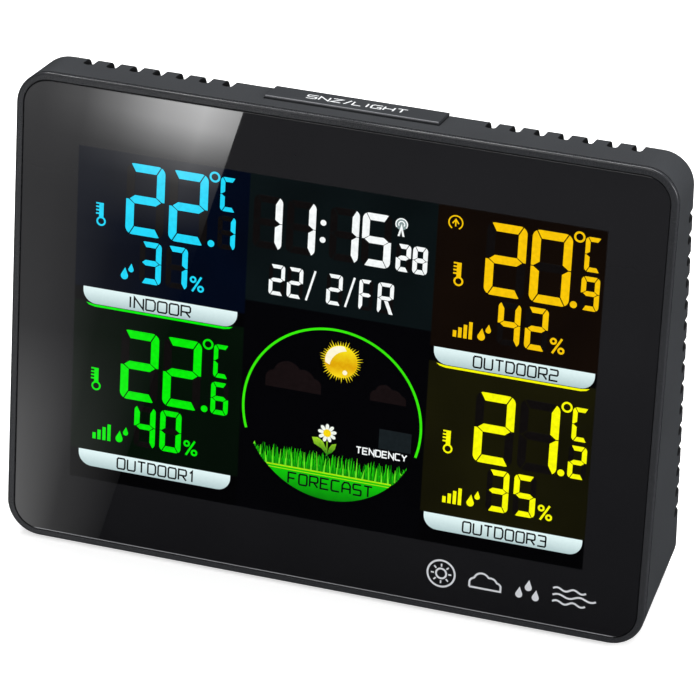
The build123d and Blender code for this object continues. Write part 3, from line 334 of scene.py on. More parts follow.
CASE = linear(50, 52, 55)
finishes = {
    "frame_plastic": finish("frame_plastic", linear(46, 47, 50), 0.26, 0.22, 0.006, 0.3, 0.06, 25, edge=0.15),
    # The case plastic gets painted shade in its notches and grooves, reaching 6 mm.
    "case_plastic": finish("case_plastic", CASE, 0.42, 0.28, 0.02, 0.45, 0.07, 22, edge=0.35, recess=6.0),
    "button_plastic": finish("button_plastic", linear(48, 49, 52), 0.45, 0.25, 0.015, 0.4, 0.06, 9, edge=0.2),
    "white_plastic": finish("white_plastic", linear(226, 226, 222), 0.45, 0.5, 0.01, 0.3, 0.03),
    "lens": lens_finish("lens"),
    "lcd": finish("lcd", linear(30, 32, 36), 0.12, 2.0, 0.005, 0.1, 0.1, 12, 0.03),
    "tape": finish("tape", linear(24, 24, 25), 0.6, 0.3, 0.01, 0.4, 0.1, 6),
    "film": finish("film", linear(236, 238, 240), 0.3, 0.6, 0.004, 0.2, 0.02, 20),
    "acrylic": finish("acrylic", linear(228, 236, 240), 0.08, 3.0, 0.004, 0.1, 0.02, 30, 0.03,
                      transmission=0.6),
    "led": finish("led", linear(250, 238, 180), 0.25, 0.3, 0.01, 0.2, 0.06, 1.5),
    "board": board_finish("board"),
    "elastomer": finish("elastomer", linear(150, 150, 156), 0.65, 0.3, 0.01, 0.4, 0.15, 2.0,
                        stretch=(6, 1, 1)),
    "epoxy": finish("epoxy", linear(14, 14, 15), 0.28, 1.5, 0.05, 0.3, 0.15, 4.0),
    "component": finish("component", linear(40, 42, 48), 0.35, 0.5, 0.01, 0.3, 0.2, 2.5),
    "brass_wire": finish("brass_wire", linear(196, 160, 92), 0.25, 0.3, 0.004, 0.2, 0.1, 3.0, metallic=1.0),
    "ferrite": finish("ferrite", linear(58, 56, 56), 0.6, 0.4, 0.02, 0.6, 0.15, 4.0),
    "copper": finish("copper", linear(196, 108, 70), 0.28, 0.25, 0.05, 0.8, 0.1, 3.0, metallic=1.0,
                     stretch=(8, 0.5, 0.5)),
    "cell": cell_wrap("cell"),
    "steel": finish("steel", linear(196, 198, 202), 0.28, 0.3, 0.004, 0.3, 0.06, 3.0, metallic=1.0),
    "sensor": finish("sensor", linear(232, 234, 236), 0.4, 0.4, 0.01, 0.3, 0.05, 2.0),
    "label": finish("label", linear(188, 190, 194), 0.38, 0.35, 0.004, 0.25, 0.03, 8.0),
    "rubber": finish("rubber", linear(26, 26, 27), 0.8, 0.4, 0.02, 0.5, 0.1, 3.0),
}
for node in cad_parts.values():
    for holder in node.material_slots:
        holder.material = finishes[holder.material.name]


def bar_finish(name, front_edge_mm, top_mm):
    """Button plastic with a painted highlight: a light band along its top front edge."""
    nodes = Nodes(name)
    near_edge = nodes.ranged(nodes.along(TOP_BACK), front_edge_mm + 0.2, front_edge_mm + 0.5, 1.0, 0.0)
    near_top = nodes.ranged(nodes.along(TOP_UP), top_mm - 0.45, top_mm - 0.15, 0.0, 1.0)
    # Painted highlight along the top front edge of the bar.
    bar_edge_highlight = nodes.maths("MULTIPLY", near_edge, near_top)
    tone = nodes.ramp(nodes.maths("ADD", bar_edge_highlight, nodes.ranged(nodes.noise(14.0), 0.3, 0.7, -0.04, 0.04)),
                      [(0.0, linear(50, 52, 55)), (1.0, linear(140, 141, 145))])
    nodes.join(tone, nodes.shader.inputs["Base Color"])
    fine = nodes.noise(0.25, 4.0)
    nodes.join(nodes.ranged(fine, 0.3, 0.7, 0.3, 0.42), nodes.shader.inputs["Roughness"])
    nodes.bump(fine, 0.015, 0.4, 0.3)
    return nodes.material


bar_points = [vertex.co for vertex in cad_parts["bar_button"].data.vertices]
bar_level = max(point.dot(TOP_UP) for point in bar_points)
bar_reach = [point.dot(TOP_BACK) for point in bar_points if bar_level - point.dot(TOP_UP) < 0.05 * MM]
BAR_MIDDLE = bar_level * TOP_UP + (min(bar_reach) + max(bar_reach)) / 2 * TOP_BACK
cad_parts["bar_button"].material_slots[0].material = bar_finish(
    "bar_plastic", min(bar_reach) / MM, bar_level / MM)

INK = {
    "blue": glow("ink_blue", linear(30, 216, 250)),
    "green": glow("ink_green", linear(4, 238, 6)),
    "amber": glow("ink_amber", linear(248, 198, 4)),
    "yellow": glow("ink_yellow", linear(250, 250, 4)),
    "white": glow("ink_white", linear(246, 250, 250)),
}
ghost_finish = glow("ink_ghost", linear(11, 8, 8), 0.2)
cloud_finish = glow("cloud_unlit", linear(19, 11, 12), 0.2)
PLATE_BRIGHT, PLATE_SHADE = linear(226, 246, 246), linear(150, 176, 178)
plate_finish = glow("plate_silver", PLATE_BRIGHT, 0.03, 73.0, 79.0, PLATE_SHADE, 0.8)
plate_low_finish = glow("plate_silver_low", PLATE_BRIGHT, 0.03, 23.2, 29.2, PLATE_SHADE, 0.8)
print_dark = glow("print_dark", linear(6, 8, 10))
ring_finish = glow("ring_green", linear(54, 234, 8), 0.06)
bowl_finish = glow("bowl_green", linear(14, 196, 8), 0.05, 27.0, 35.0, linear(4, 118, 8), 2.0)
grass_finish = glow("grass_green", linear(36, 206, 8), 0.3, 35.0, 41.0, linear(10, 168, 6), 0.5)
grass_dark_finish = glow("grass_shade", linear(10, 128, 6), 0.3, size=0.6)
grass_tip_finish = glow("grass_light", linear(110, 226, 40), 0.2)
horizon_finish = glow("horizon_lime", linear(170, 232, 10), 0.1)
sun_finish = glow("sun_gold", linear(255, 240, 30), 0.07, 64.8, 75.2, linear(255, 226, 30), 1.6,
                  middle=(0.42, linear(222, 164, 4)))
sun_light_finish = glow("sun_light", linear(255, 248, 214), 0.05)
petal_finish = glow("petal_white", linear(240, 246, 236), 0.08, size=0.5)
leaf_finish = glow("leaf_green", linear(160, 212, 44), 0.15, 42.0, 46.4, linear(28, 128, 20), 0.6)
aerial_finish = glow("aerial_grey", linear(132, 150, 150), 0.05)
ray_finish = glow("sun_rays", linear(252, 226, 20), 0.05)
eye_finish = glow("flower_eye", linear(246, 214, 10), 0.1, size=0.4)
slate_finish = glow("slate", linear(21, 28, 31), 0.15)
mark_finish = finish("mark_print", linear(206, 208, 212), 0.35, 0.2, 0.004, 0.2, 0.04, 4.0)
legend_finish = finish("legend_print", linear(222, 224, 226), 0.45, 0.2, 0.004, 0.3, 0.04, 3.0)
label_ink = finish("label_ink", linear(40, 42, 46), 0.5, 0.2, 0.004, 0.3, 0.08, 2.0)


# ---- Flat printed shapes ------------------------------------------------------------------------
def prisms(name, shapes, place, raise_mm, thickness, material, body="case"):
    """One piece made of thin closed plates, one for each outline of (across, up) points."""
    mesh = bpy.data.meshes.new(name)
    build = bmesh.new()
    for outline in shapes:
        low = [build.verts.new(place(across, up, raise_mm)) for across, up in outline]
        high = [build.verts.new(place(across, up, raise_mm + thickness)) for across, up in outline]
        build.faces.new(high)
        build.faces.new(low[::-1])
        for index in range(len(outline)):
            after = (index + 1) % len(outline)
            build.faces.new((low[index], low[after], high[after], high[index]))
    bmesh.ops.recalc_face_normals(build, faces=build.faces)
    bmesh.ops.triangulate(build, faces=[face for face in build.faces if len(face.verts) > 4])
    build.to_mesh(mesh)
    build.free()
    piece = bpy.data.objects.new(name, mesh)
    bpy.context.scene.collection.objects.link(piece)
    mesh.materials.append(material)
    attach(piece, body)


def arc(centre_x, centre_y, radius, start, end, steps=12):
    """Points round part of a circle. Angles are in degrees."""
    turns = [radians(start + (end - start) * step / steps) for step in range(steps + 1)]
    return [(centre_x + radius * cos(turn), centre_y + radius * sin(turn)) for turn in turns]


def band(points, width):
    """Outline of an open line of this width, with mitred corners."""
    left, right = [], []
    count = len(points)
    for index, (x, y) in enumerate(points):
        before = points[max(index - 1, 0)]
        after = points[min(index + 1, count - 1)]
        into = Vector((x - before[0], y - before[1])) if index else Vector((after[0] - x, after[1] - y))
        out = Vector((after[0] - x, after[1] - y)) if index < count - 1 else into
        into.normalize()
        out = out.normalized()
        mean = (into + out).normalized()
        normal = Vector((-mean.y, mean.x))
        reach = width / 2 / max(0.35, mean.dot(into))
        left.append((x + normal.x * reach, y + normal.y * reach))
        right.append((x - normal.x * reach, y - normal.y * reach))
    return left + right[::-1]


def strips(points, width):
    """The same line as separate four-sided plates, for long curves."""
    edge = band(points, width)
    count = len(points)
    return [[edge[i], edge[i + 1], edge[2 * count - 2 - i], edge[2 * count - 1 - i]]
            for i in range(count - 1)]


def ring(x, y, radius, width, start=0.0, end=360.0, steps=36):
    return strips(arc(x, y, radius, start, end, steps), width)


def disc(x, y, radius, steps=24):
    return arc(x, y, radius, 0, 360 - 360 / steps, steps - 1)


def rectangle(left, low, right, high):
    return [(left, low), (right, low), (right, high), (left, high)]


def moved(shapes, x, y, scale=1.0):
    return [[(x + px * scale, y + py * scale) for px, py in outline] for outline in shapes]


SEGMENTS = {
    "0": "abcdef", "1": "bc", "2": "abged", "3": "abgcd", "4": "fgbc", "5": "afgcd", "6": "afgecd",
    "7": "abc", "8": "abcdefg", "9": "abcdfg", "C": "afed", "F": "afge", "R": "afgeb",
}


def segments(width, height, stroke, gap):
    """The seven bars of a display digit. The uprights own the rounded outer corners."""
    corner = stroke * 0.9
    middle = height / 2
    half_gap = gap / 2
    turn = 57.3 * half_gap / corner  # degrees
    joint = 64.0
    high_left = (corner, height - corner)
    high_right = (width - corner, height - corner)
    shapes = {}
    slant = half_gap * 1.6
    shapes["a"] = (arc(*high_left, corner, 180 - joint - turn, 90, 3)
                   + arc(*high_right, corner, 90, joint + turn, 3)
                   + [(width - stroke - slant, height - stroke), (stroke + slant, height - stroke)])
    shapes["b"] = arc(*high_right, corner, joint - turn, 0, 6) + [
        (width, middle + half_gap), (width - 0.3 * stroke, middle + half_gap),
        (width - stroke, middle + 0.5 * stroke + half_gap), (width - stroke, height - stroke - slant)]
    shapes["f"] = [(width - x, y) for x, y in shapes["b"]][::-1]
    shapes["d"] = [(x, height - y) for x, y in shapes["a"]][::-1]
    shapes["c"] = [(x, height - y) for x, y in shapes["b"]][::-1]
    shapes["e"] = [(x, height - y) for x, y in shapes["f"]][::-1]
    half = stroke / 2
    tip = 0.3 * stroke + gap
    inner = stroke + half_gap
    shapes["g"] = [(tip, middle), (inner, middle + half), (width - inner, middle + half),
                   (width - tip, middle), (width - inner, middle - half), (inner, middle - half)]
    return shapes


def digit(character, x, y, width, height, stroke, gap=0.22):
    """Lit and unlit bars of one character."""
    shapes = segments(width, height, stroke, gap)
    lit = [shapes[key] for key in SEGMENTS.get(character, "")]
    dark = [shapes[key] for key in "abcdefg" if key not in SEGMENTS.get(character, "")]
    if character == "R":
        leg_top = height / 2 - stroke / 2 - gap
        leg = width * 0.42
        lit.append([(leg, leg_top), (leg + stroke, leg_top), (width, 0), (width - stroke, 0)])
    return moved(lit, x, y), moved(dark, x, y)


# Strokes of a plain squared alphabet in a cell one unit wide and high
LETTERS = {
    "A": [[(0, 0), (0, 0.72), (0.25, 1), (0.75, 1), (1, 0.72), (1, 0)], [(0, 0.4), (1, 0.4)]],
    "C": [[(1, 1), (0.12, 1), (0, 0.88), (0, 0.12), (0.12, 0), (1, 0)]],
    "D": [[(0, 0), (0, 1), (0.8, 1), (1, 0.8), (1, 0.2), (0.8, 0), (0, 0)]],
    "E": [[(1, 1), (0, 1), (0, 0), (1, 0)], [(0, 0.5), (0.85, 0.5)]],
    "F": [[(0, 0), (0, 1), (1, 1)], [(0, 0.48), (0.8, 0.48)]],
    "G": [[(1, 1), (0.12, 1), (0, 0.88), (0, 0.12), (0.12, 0), (1, 0), (1, 0.45), (0.55, 0.45)]],
    "H": [[(0, 0), (0, 1)], [(1, 0), (1, 1)], [(0, 0.5), (1, 0.5)]],
    "I": [[(0.5, 0), (0.5, 1)]],
    "L": [[(0, 1), (0, 0), (0.9, 0)]],
    "M": [[(0, 0), (0, 1), (0.5, 0.45), (1, 1), (1, 0)]],
    "N": [[(0, 0), (0, 1), (1, 0), (1, 1)]],
    "O": [[(0.5, 0), (0.12, 0), (0, 0.12), (0, 0.88), (0.12, 1), (0.88, 1), (1, 0.88), (1, 0.12), (0.88, 0),
           (0.5, 0)]],
    "P": [[(0, 0), (0, 1), (0.88, 1), (1, 0.88), (1, 0.52), (0.88, 0.42), (0, 0.42)]],
    "R": [[(0, 0), (0, 1), (0.88, 1), (1, 0.88), (1, 0.54), (0.88, 0.44), (0, 0.44)], [(0.5, 0.44), (1, 0)]],
    "S": [[(1, 1), (0.1, 1), (0, 0.9), (0, 0.6), (0.1, 0.5), (0.9, 0.5), (1, 0.4), (1, 0.1), (0.9, 0),
           (0, 0)]],
    "T": [[(0, 1), (1, 1)], [(0.5, 1), (0.5, 0)]],
    "U": [[(0, 1), (0, 0.12), (0.12, 0), (0.88, 0), (1, 0.12), (1, 1)]],
    "W": [[(0, 1), (0.2, 0), (0.5, 0.7), (0.8, 0), (1, 1)]],
    "Y": [[(0, 1), (0.5, 0.48), (1, 1)], [(0.5, 0.48), (0.5, 0)]],
    "Z": [[(0, 1), (1, 1), (0, 0), (1, 0)]],
    "1": [[(0.2, 0.78), (0.6, 1), (0.6, 0)]],
    "2": [[(0, 1), (0.9, 1), (1, 0.9), (1, 0.6), (0.9, 0.5), (0.1, 0.5), (0, 0.4), (0, 0), (1, 0)]],
    "3": [[(0, 1), (0.9, 1), (1, 0.9), (1, 0.1), (0.9, 0), (0, 0)], [(0.3, 0.52), (1, 0.52)]],
    "/": [[(0.1, -0.1), (0.9, 1.1)]],
    " ": [],
}
NARROW = {"I": 0.3, "1": 0.7, " ": 0.6, "/": 0.6}


def words(text, centre, base, letter_width, height, stroke, space):
    """A line of lettering, centred."""
    widths = [letter_width * NARROW.get(letter, 1.0) for letter in text]
    x = centre - (sum(widths) + space * (len(text) - 1)) / 2
    shapes = []
    for letter, width in zip(text, widths):
        for line in LETTERS[letter]:
            points = [(x + px * width, base + py * height) for px, py in line]
            shapes += strips(points, stroke)
        x += width + space
    return shapes


# ---- Channel readings ---------------------------------------------------------------------------
def thermometer(x, y):
    """Icon about 3 mm wide and 6.9 mm tall: a bulb, a full tube and its scale."""
    ticks = [rectangle(x + 0.35, y + 3.5 + step * 1.0, x + 1.35, y + 3.95 + step * 1.0) for step in range(4)]
    tube = rectangle(x + 1.3, y + 2.45, x + 2.6, y + 6.95)
    return ring(x + 1.95, y + 1.5, 1.15, 0.5, steps=24) + [tube] + ticks


def drop(x, y, height):
    """Drop of this height with its foot at (x, y)."""
    radius = height * 0.3
    body = arc(x, y + radius, radius, -200, 20, 14)
    return [[(px, py) for px, py in body] + [(x + radius * 0.15, y + height)]]


def percent(x, y):
    rings = ring(x + 1.0, y + 3.5, 0.72, 0.58, steps=16) + ring(x + 3.3, y + 1.0, 0.72, 0.58, steps=16)
    return rings + [band([(x + 0.85, y), (x + 3.4, y + 4.5)], 0.62)]


def signal(x, y):
    return [rectangle(x + step * 1.5, y, x + step * 1.5 + 1.0, y + 1.9 + step * 1.05) for step in range(4)]


def channel(name, left, drop_by, large, small, humidity, ink, with_signal, extra=()):
    """One channel's temperature and humidity, set out from its left edge and the large digits' foot."""
    lit, dark = [], []
    foot = 97.4 - drop_by
    for index, character in enumerate(large):
        on, off = digit(character, left + 14.5 + index * 12.75, foot, 11.3, 21.0, 2.4, 0.3)
        lit += on
        dark += off
    on, off = digit(small, left + 41.7, foot + 0.1, 5.2, 9.8, 1.4, 0.22)
    lit += on
    dark += off
    on, off = digit("C", left + 42.1, foot + 11.3, 4.9, 10.0, 1.3, 0.22)
    lit += on
    for index, character in enumerate(humidity):
        on, off = digit(character, left + 19.1 + index * 7.8, foot - 14.0, 6.4, 12.5, 1.62, 0.24)
        lit += on
        dark += off
    lit += ring(left + 40.3, foot + 20.8, 1.3, 0.58, steps=24)
    lit.append(disc(left + 39.9, foot + 1.15, 1.0))
    lit += percent(left + 34.1, foot - 13.9)
    lit += drop(left + 14.7, foot - 13.8, 3.6) + drop(left + 16.6, foot - 11.4, 2.6)
    lit += thermometer(left + 5.3, foot + 0.8)
    if with_signal:
        lit += signal(left + 6.6, foot - 14.0)
    lit += list(extra)
    prisms(f"reading_{name}", lit, on_front, INK_RAISE, INK_THICKNESS, INK[ink])
    prisms(f"unlit_{name}", dark, on_front, GHOST_RAISE, INK_THICKNESS, ghost_finish)


def loop_icon(x, y):
    """Ring with an arrow in it: readings are shown in turn."""
    stroke = 0.36
    arrow = [band([(x - 0.9, y - 0.3), (x, y + 0.9), (x + 0.9, y - 0.3)], stroke),
             band([(x, y + 0.7), (x, y - 1.1)], stroke)]
    return ring(x, y, 1.95, stroke, -60, 240) + arrow


channel("indoor", LEFT_CHANNEL, 0.0, "22", "1", "37", "blue", False)
channel("outdoor_1", LEFT_CHANNEL, ROW_DROP, "22", "6", "40", "green", True)
channel("outdoor_2", RIGHT_CHANNEL, 0.0, "20", "9", "42", "amber", True,
        loop_icon(RIGHT_CHANNEL + 5.5, 116.5))
channel("outdoor_3", RIGHT_CHANNEL, ROW_DROP, "21", "2", "35", "yellow", True)


# ---- Channel labels -----------------------------------------------------------------------------
def plate(left, top):
    """Bright plate, flat on top, with its lower corners rounded off."""
    right = left + PLATE_WIDTH
    low = top - PLATE_HEIGHT
    bend = 3.9
    return ([(left, top)] + arc(left + bend, low + bend, bend, 180, 270, 8)
            + arc(right - bend, low + bend, bend, -90, 0, 8) + [(right, top)])


LEFT_PLATE = -73.4
RIGHT_PLATE = 29.9
labels = [("INDOOR", LEFT_PLATE, 0.0), ("OUTDOOR1", LEFT_PLATE, ROW_DROP),
          ("OUTDOOR2", RIGHT_PLATE, 0.0), ("OUTDOOR3", RIGHT_PLATE, ROW_DROP)]
upper = [plate(left, LABEL_TOP) for text, left, by in labels if not by]
lower = [plate(left, LABEL_TOP - by) for text, left, by in labels if by]
prisms("label_plates_upper", upper, on_front, INK_RAISE, INK_THICKNESS, plate_finish)
prisms("label_plates_lower", lower, on_front, INK_RAISE, INK_THICKNESS, plate_low_finish)
lettering = []
for text, left, by in labels:
    letter_width = 2.7 if text == "INDOOR" else 2.3
    centre = left + 23.5 - (letter_width - 2.3) * 1.5
    lettering += words(text, centre, LABEL_TOP - by - 4.1, letter_width, 3.2, 0.48, 0.8)
prisms("label_lettering", lettering, on_front, OVERLAY_RAISE, INK_THICKNESS, print_dark)


def underline(plate_left):
    """Thin line below a plate, turned up a little at its ends."""
    low = LABEL_TOP - PLATE_HEIGHT - 0.85
    left = plate_left + 1.0
    right = plate_left + PLATE_WIDTH - 1.2
    return [(left, low + 1.0), (left + 0.9, low + 0.35), (left + 2.6, low), (right - 2.6, low),
            (right - 0.9, low + 0.35), (right, low + 1.0), (right - 2.4, low + 0.65),
            (left + 2.4, low + 0.65)]


prisms("underline_green", [underline(LEFT_PLATE)], on_front, INK_RAISE, INK_THICKNESS, INK["green"])
prisms("underline_yellow", [underline(RIGHT_PLATE)], on_front, INK_RAISE, INK_THICKNESS, INK["yellow"])

# ---- Clock and date -----------------------------------------------------------------------------
clock, clock_dark = [], []
TIME_FOOT, SECONDS_FOOT, DATE_FOOT = 99.8, 99.75, 86.6
# width, height and stroke of a digit
TIME_DIGIT = (8.4, 15.5, 2.05)
SECONDS_DIGIT = (4.25, 8.0, 1.3)
DATE_DIGIT = (4.6, 9.0, 1.08)
DATE_LETTER_F = (4.0, 9.0, 1.08)
clock_digits = [
    ("1", -24.0, TIME_FOOT, *TIME_DIGIT), ("1", -14.3, TIME_FOOT, *TIME_DIGIT),
    ("1", -1.8, TIME_FOOT, *TIME_DIGIT), ("5", 7.5, TIME_FOOT, *TIME_DIGIT),
    ("2", 17.5, SECONDS_FOOT, *SECONDS_DIGIT), ("8", 22.3, SECONDS_FOOT, *SECONDS_DIGIT),
    ("2", -18.7, DATE_FOOT, *DATE_DIGIT), ("2", -13.4, DATE_FOOT, *DATE_DIGIT),
    ("2", -1.9, DATE_FOOT, *DATE_DIGIT), ("F", 7.5, DATE_FOOT, *DATE_LETTER_F),
    ("R", 12.9, DATE_FOOT, *DATE_DIGIT),
]
for character, x, y, width, height, stroke in clock_digits:
    on, off = digit(character, x, y, width, height, stroke, 0.2)
    clock += on
    clock_dark += off
clock += [disc(-3.75, 110.1, 0.85), disc(-3.75, 105.1, 0.85)]
clock += [band([(x, DATE_FOOT), (x + 2.4, DATE_FOOT + 9.0)], 0.6) for x in (-7.7, 3.7)]
AERIAL_X, AERIAL_Y = 18.6, 113.4
for radius in (0.85, 1.65):
    clock += ring(AERIAL_X, AERIAL_Y, radius, 0.32, -35, 215, 20)
mast = [(0, 0.2), (-1.0, -3.5), (-0.4, -3.5), (0, -1.8), (0.4, -3.5), (1.0, -3.5)]
clock += moved([mast], AERIAL_X, AERIAL_Y)
prisms("clock_aerial", [disc(AERIAL_X, AERIAL_Y, 1.7)], on_front, GHOST_RAISE, INK_THICKNESS,
       aerial_finish)
prisms("clock_reading", clock, on_front, INK_RAISE, INK_THICKNESS, INK["white"])
prisms("clock_unlit", clock_dark, on_front, GHOST_RAISE, INK_THICKNESS, ghost_finish)

# ---- Forecast dial ------------------------------------------------------------------------------
DIAL_X, DIAL_Y = 1.5, 53.2
DIAL_RADIUS = 26.1
BOWL_RADIUS = 25.4
BOWL_TOP = 35.7
GRASS_TOP = 41.2

prisms("forecast_ring", ring(DIAL_X, DIAL_Y, DIAL_RADIUS, 0.72, -17.2, 197.2, 90), on_front,
       INK_RAISE, INK_THICKNESS, ring_finish)

half_width = sqrt(BOWL_RADIUS ** 2 - (DIAL_Y - BOWL_TOP) ** 2)
rows = 14
bowl_rows = []
bowl_foot = DIAL_Y - BOWL_RADIUS
for row in range(rows):
    low = bowl_foot + (BOWL_TOP - bowl_foot) * (row / rows) ** 1.6
    high = bowl_foot + (BOWL_TOP - bowl_foot) * ((row + 1) / rows) ** 1.6
    low_half = sqrt(max(BOWL_RADIUS ** 2 - (DIAL_Y - low) ** 2, 0.01))
    high_half = sqrt(BOWL_RADIUS ** 2 - (DIAL_Y - high) ** 2)
    bowl_rows.append([(DIAL_X - low_half, low), (DIAL_X + low_half, low), (DIAL_X + high_half, high),
                      (DIAL_X - high_half, high)])
prisms("forecast_bowl", bowl_rows, on_front, INK_RAISE, INK_THICKNESS, bowl_finish)
horizon = [rectangle(DIAL_X - half_width, BOWL_TOP, DIAL_X + half_width, BOWL_TOP + 0.42),
           rectangle(DIAL_X - half_width + 0.6, BOWL_TOP - 0.75, DIAL_X + half_width - 0.6, BOWL_TOP - 0.55)]
prisms("forecast_horizon", horizon, on_front, OVERLAY_RAISE, INK_THICKNESS, horizon_finish)
prisms("forecast_word", words("FORECAST", DIAL_X + 0.6, 31.0, 2.35, 3.2, 0.5, 0.85), on_front,
       OVERLAY_RAISE, INK_THICKNESS, print_dark)

blades, light_blades, dark_blades = [], [], []
grass_half = sqrt(BOWL_RADIUS ** 2 - (DIAL_Y - GRASS_TOP) ** 2)
blade_count = 260
for index in range(blade_count):
    x = DIAL_X - grass_half + 2 * grass_half * (index + 0.5) / blade_count
    foot = max(BOWL_TOP + 0.3, DIAL_Y - sqrt(BOWL_RADIUS ** 2 - (x - DIAL_X) ** 2))
    tip = GRASS_TOP + random.uniform(-2.2, 0.9)
    tip = max(tip, foot + 0.8)
    lean_by = random.uniform(-0.55, 0.55)
    width = random.uniform(0.14, 0.3)
    blade = [(x - width, foot), (x + width, foot), (x + lean_by + 0.04, tip), (x + lean_by - 0.04, tip)]
    kind = light_blades if index % 11 == 0 else dark_blades if index % 3 == 0 else blades
    kind.append(blade)
turf_top = BOWL_TOP + 2.4
turf_half = sqrt(BOWL_RADIUS ** 2 - (DIAL_Y - turf_top) ** 2)
turf = [[(DIAL_X - half_width, BOWL_TOP), (DIAL_X + half_width, BOWL_TOP), (DIAL_X + turf_half, turf_top),
         (DIAL_X - turf_half, turf_top)]]
prisms("forecast_turf", turf, on_front, GHOST_RAISE, INK_THICKNESS, grass_finish)
prisms("forecast_grass", blades, on_front, INK_RAISE, INK_THICKNESS, grass_finish)
prisms("forecast_grass_dark", dark_blades, on_front, INK_RAISE + 0.01, INK_THICKNESS, grass_dark_finish)
prisms("forecast_grass_light", light_blades, on_front, OVERLAY_RAISE, INK_THICKNESS, grass_tip_finish)

SUN_X, SUN_Y, SUN_RADIUS = 3.4, 70.2, 4.8
RAY_COUNT = 46
rays = []
for index in range(RAY_COUNT):
    turn = 2 * pi * index / RAY_COUNT
    axis = Vector((cos(turn), sin(turn)))
    side = Vector((-axis.y, axis.x)) * 0.2
    reach = SUN_RADIUS + random.uniform(0.6, 1.9)
    foot = SUN_RADIUS - 0.3
    rays.append([(SUN_X + foot * axis.x - side.x, SUN_Y + foot * axis.y - side.y),
                 (SUN_X + reach * axis.x, SUN_Y + reach * axis.y),
                 (SUN_X + foot * axis.x + side.x, SUN_Y + foot * axis.y + side.y)])
prisms("forecast_sun", [disc(SUN_X, SUN_Y, SUN_RADIUS, 48)], on_front, INK_RAISE, INK_THICKNESS, sun_finish)
prisms("forecast_sun_rays", rays, on_front, GHOST_RAISE, INK_THICKNESS, ray_finish)
gleam = arc(SUN_X, SUN_Y, 4.6, 80, 190, 18) + arc(SUN_X + 2.3, SUN_Y - 2.2, 5.6, 172, 98, 14)
prisms("forecast_sun_light", [gleam, disc(SUN_X + 1.3, SUN_Y - 3.1, 0.7)], on_front, OVERLAY_RAISE,
       INK_THICKNESS, sun_light_finish)

FLOWER_X, FLOWER_Y = 0.5, 48.1
PETAL_COUNT = 9
petals = []
for index in range(PETAL_COUNT):
    turn = 2 * pi * index / PETAL_COUNT + 0.2
    axis = Vector((cos(turn), sin(turn)))
    side = Vector((-axis.y, axis.x))
    line = [(0.6, 0.2), (1.6, 0.52), (2.35, 0.5), (2.75, 0.2), (2.75, -0.2), (2.35, -0.5), (1.6, -0.52),
            (0.6, -0.2)]
    petals.append([(FLOWER_X + reach * axis.x + wide * side.x, FLOWER_Y + reach * axis.y + wide * side.y)
                   for reach, wide in line])
prisms("forecast_petals", petals, on_front, INK_RAISE, INK_THICKNESS, petal_finish)
prisms("forecast_flower_eye", [disc(FLOWER_X, FLOWER_Y, 1.15)], on_front, OVERLAY_RAISE, INK_THICKNESS,
       eye_finish)
leaves = [
    [(0.6, 41.6), (-0.9, 43.2), (-3.2, 44.3), (-3.9, 46.2), (-2.2, 46.4), (-0.6, 45.4), (0.4, 43.4)],
    [(0.8, 41.6), (1.2, 43.6), (2.0, 44.9), (3.3, 45.3), (3.0, 43.7), (2.1, 42.4)],
    [(0.45, 41.2), (0.85, 41.2), (0.75, 45.6), (0.4, 45.6)],
]
prisms("forecast_leaves", leaves, on_front, INK_RAISE - 0.02, INK_THICKNESS, leaf_finish)

prisms("tendency_word", words("TENDENCY", 16.6, 43.8, 1.4, 1.85, 0.36, 0.5), on_front, OVERLAY_RAISE,
       INK_THICKNESS, INK["white"])
prisms("tendency_window", [rectangle(15.6, 46.3, 25.0, 52.2)], on_front, GHOST_RAISE, INK_THICKNESS,
       slate_finish)


def cloud(x, y, size):
    """Plain cloud: the upper edge of four overlapping discs, on a flat foot."""
    lobes = [(-2.6, 1.0, 1.6), (-0.6, 2.0, 2.3), (2.0, 1.4, 1.9), (3.8, 0.9, 1.2)]
    left, right, steps = -4.15, 4.95, 40
    upper = []
    for step in range(steps + 1):
        across = right + (left - right) * step / steps
        heights = [up + sqrt(radius ** 2 - (across - middle) ** 2) for middle, up, radius in lobes
                   if abs(across - middle) < radius]
        upper.append((across, max(heights)))
    return moved([[(left, -0.3), (right, -0.3)] + upper], x, y, size)


prisms("forecast_unlit", cloud(-10.9, 59.8, 1.8) + cloud(17.1, 60.6, 1.15), on_front, GHOST_RAISE,
       INK_THICKNESS, cloud_finish)


# ---- Printed mark at the lower right: plain weather signs ---------------------------------------
MARK_Y = 11.9
MARK_SUN_X = 36.0
MARK_STROKE = 0.55
mark = ring(MARK_SUN_X, MARK_Y, 4.0, MARK_STROKE)
mark += ring(MARK_SUN_X, MARK_Y, 1.5, MARK_STROKE, steps=24)
for index in range(8):
    turn = 2 * pi * index / 8
    ray = [(MARK_SUN_X + reach * cos(turn), MARK_Y + reach * sin(turn)) for reach in (2.1, 3.0)]
    mark.append(band(ray, 0.45))
outline = cloud(0, 0, 1.0)[0]
mark += strips(moved([outline + [outline[0]]], 48.5, MARK_Y - 2.0)[0], MARK_STROKE)
for x, foot in ((58.8, -2.9), (61.4, -0.4), (63.6, -3.1)):
    mark += drop(x, MARK_Y + foot, 3.4)
for row, wide in ((2.0, 9.5), (0.0, 12.5), (-2.0, 9.5)):
    wave = [(68.5 + wide * step / 16, MARK_Y + row + 0.45 * sin(2 * pi * step / 8)) for step in range(17)]
    mark += strips(wave, MARK_STROKE)
prisms("printed_mark", mark, on_front, 0.05, INK_THICKNESS, mark_finish)

# ---- Legend on the bar button -------------------------------------------------------------------
def on_bar(across, up, out=0.0):
    """A point on the top of the bar button. Up runs towards the rear."""
    return BAR_MIDDLE + MM * (across * RIGHT + up * TOP_BACK + out * TOP_UP)


prisms("bar_legend", words("SNZ/LIGHT", 0.0, -1.45, 2.75, 2.9, 0.42, 0.85), on_bar, 0.01, INK_THICKNESS,
       legend_finish, body="bar_button")

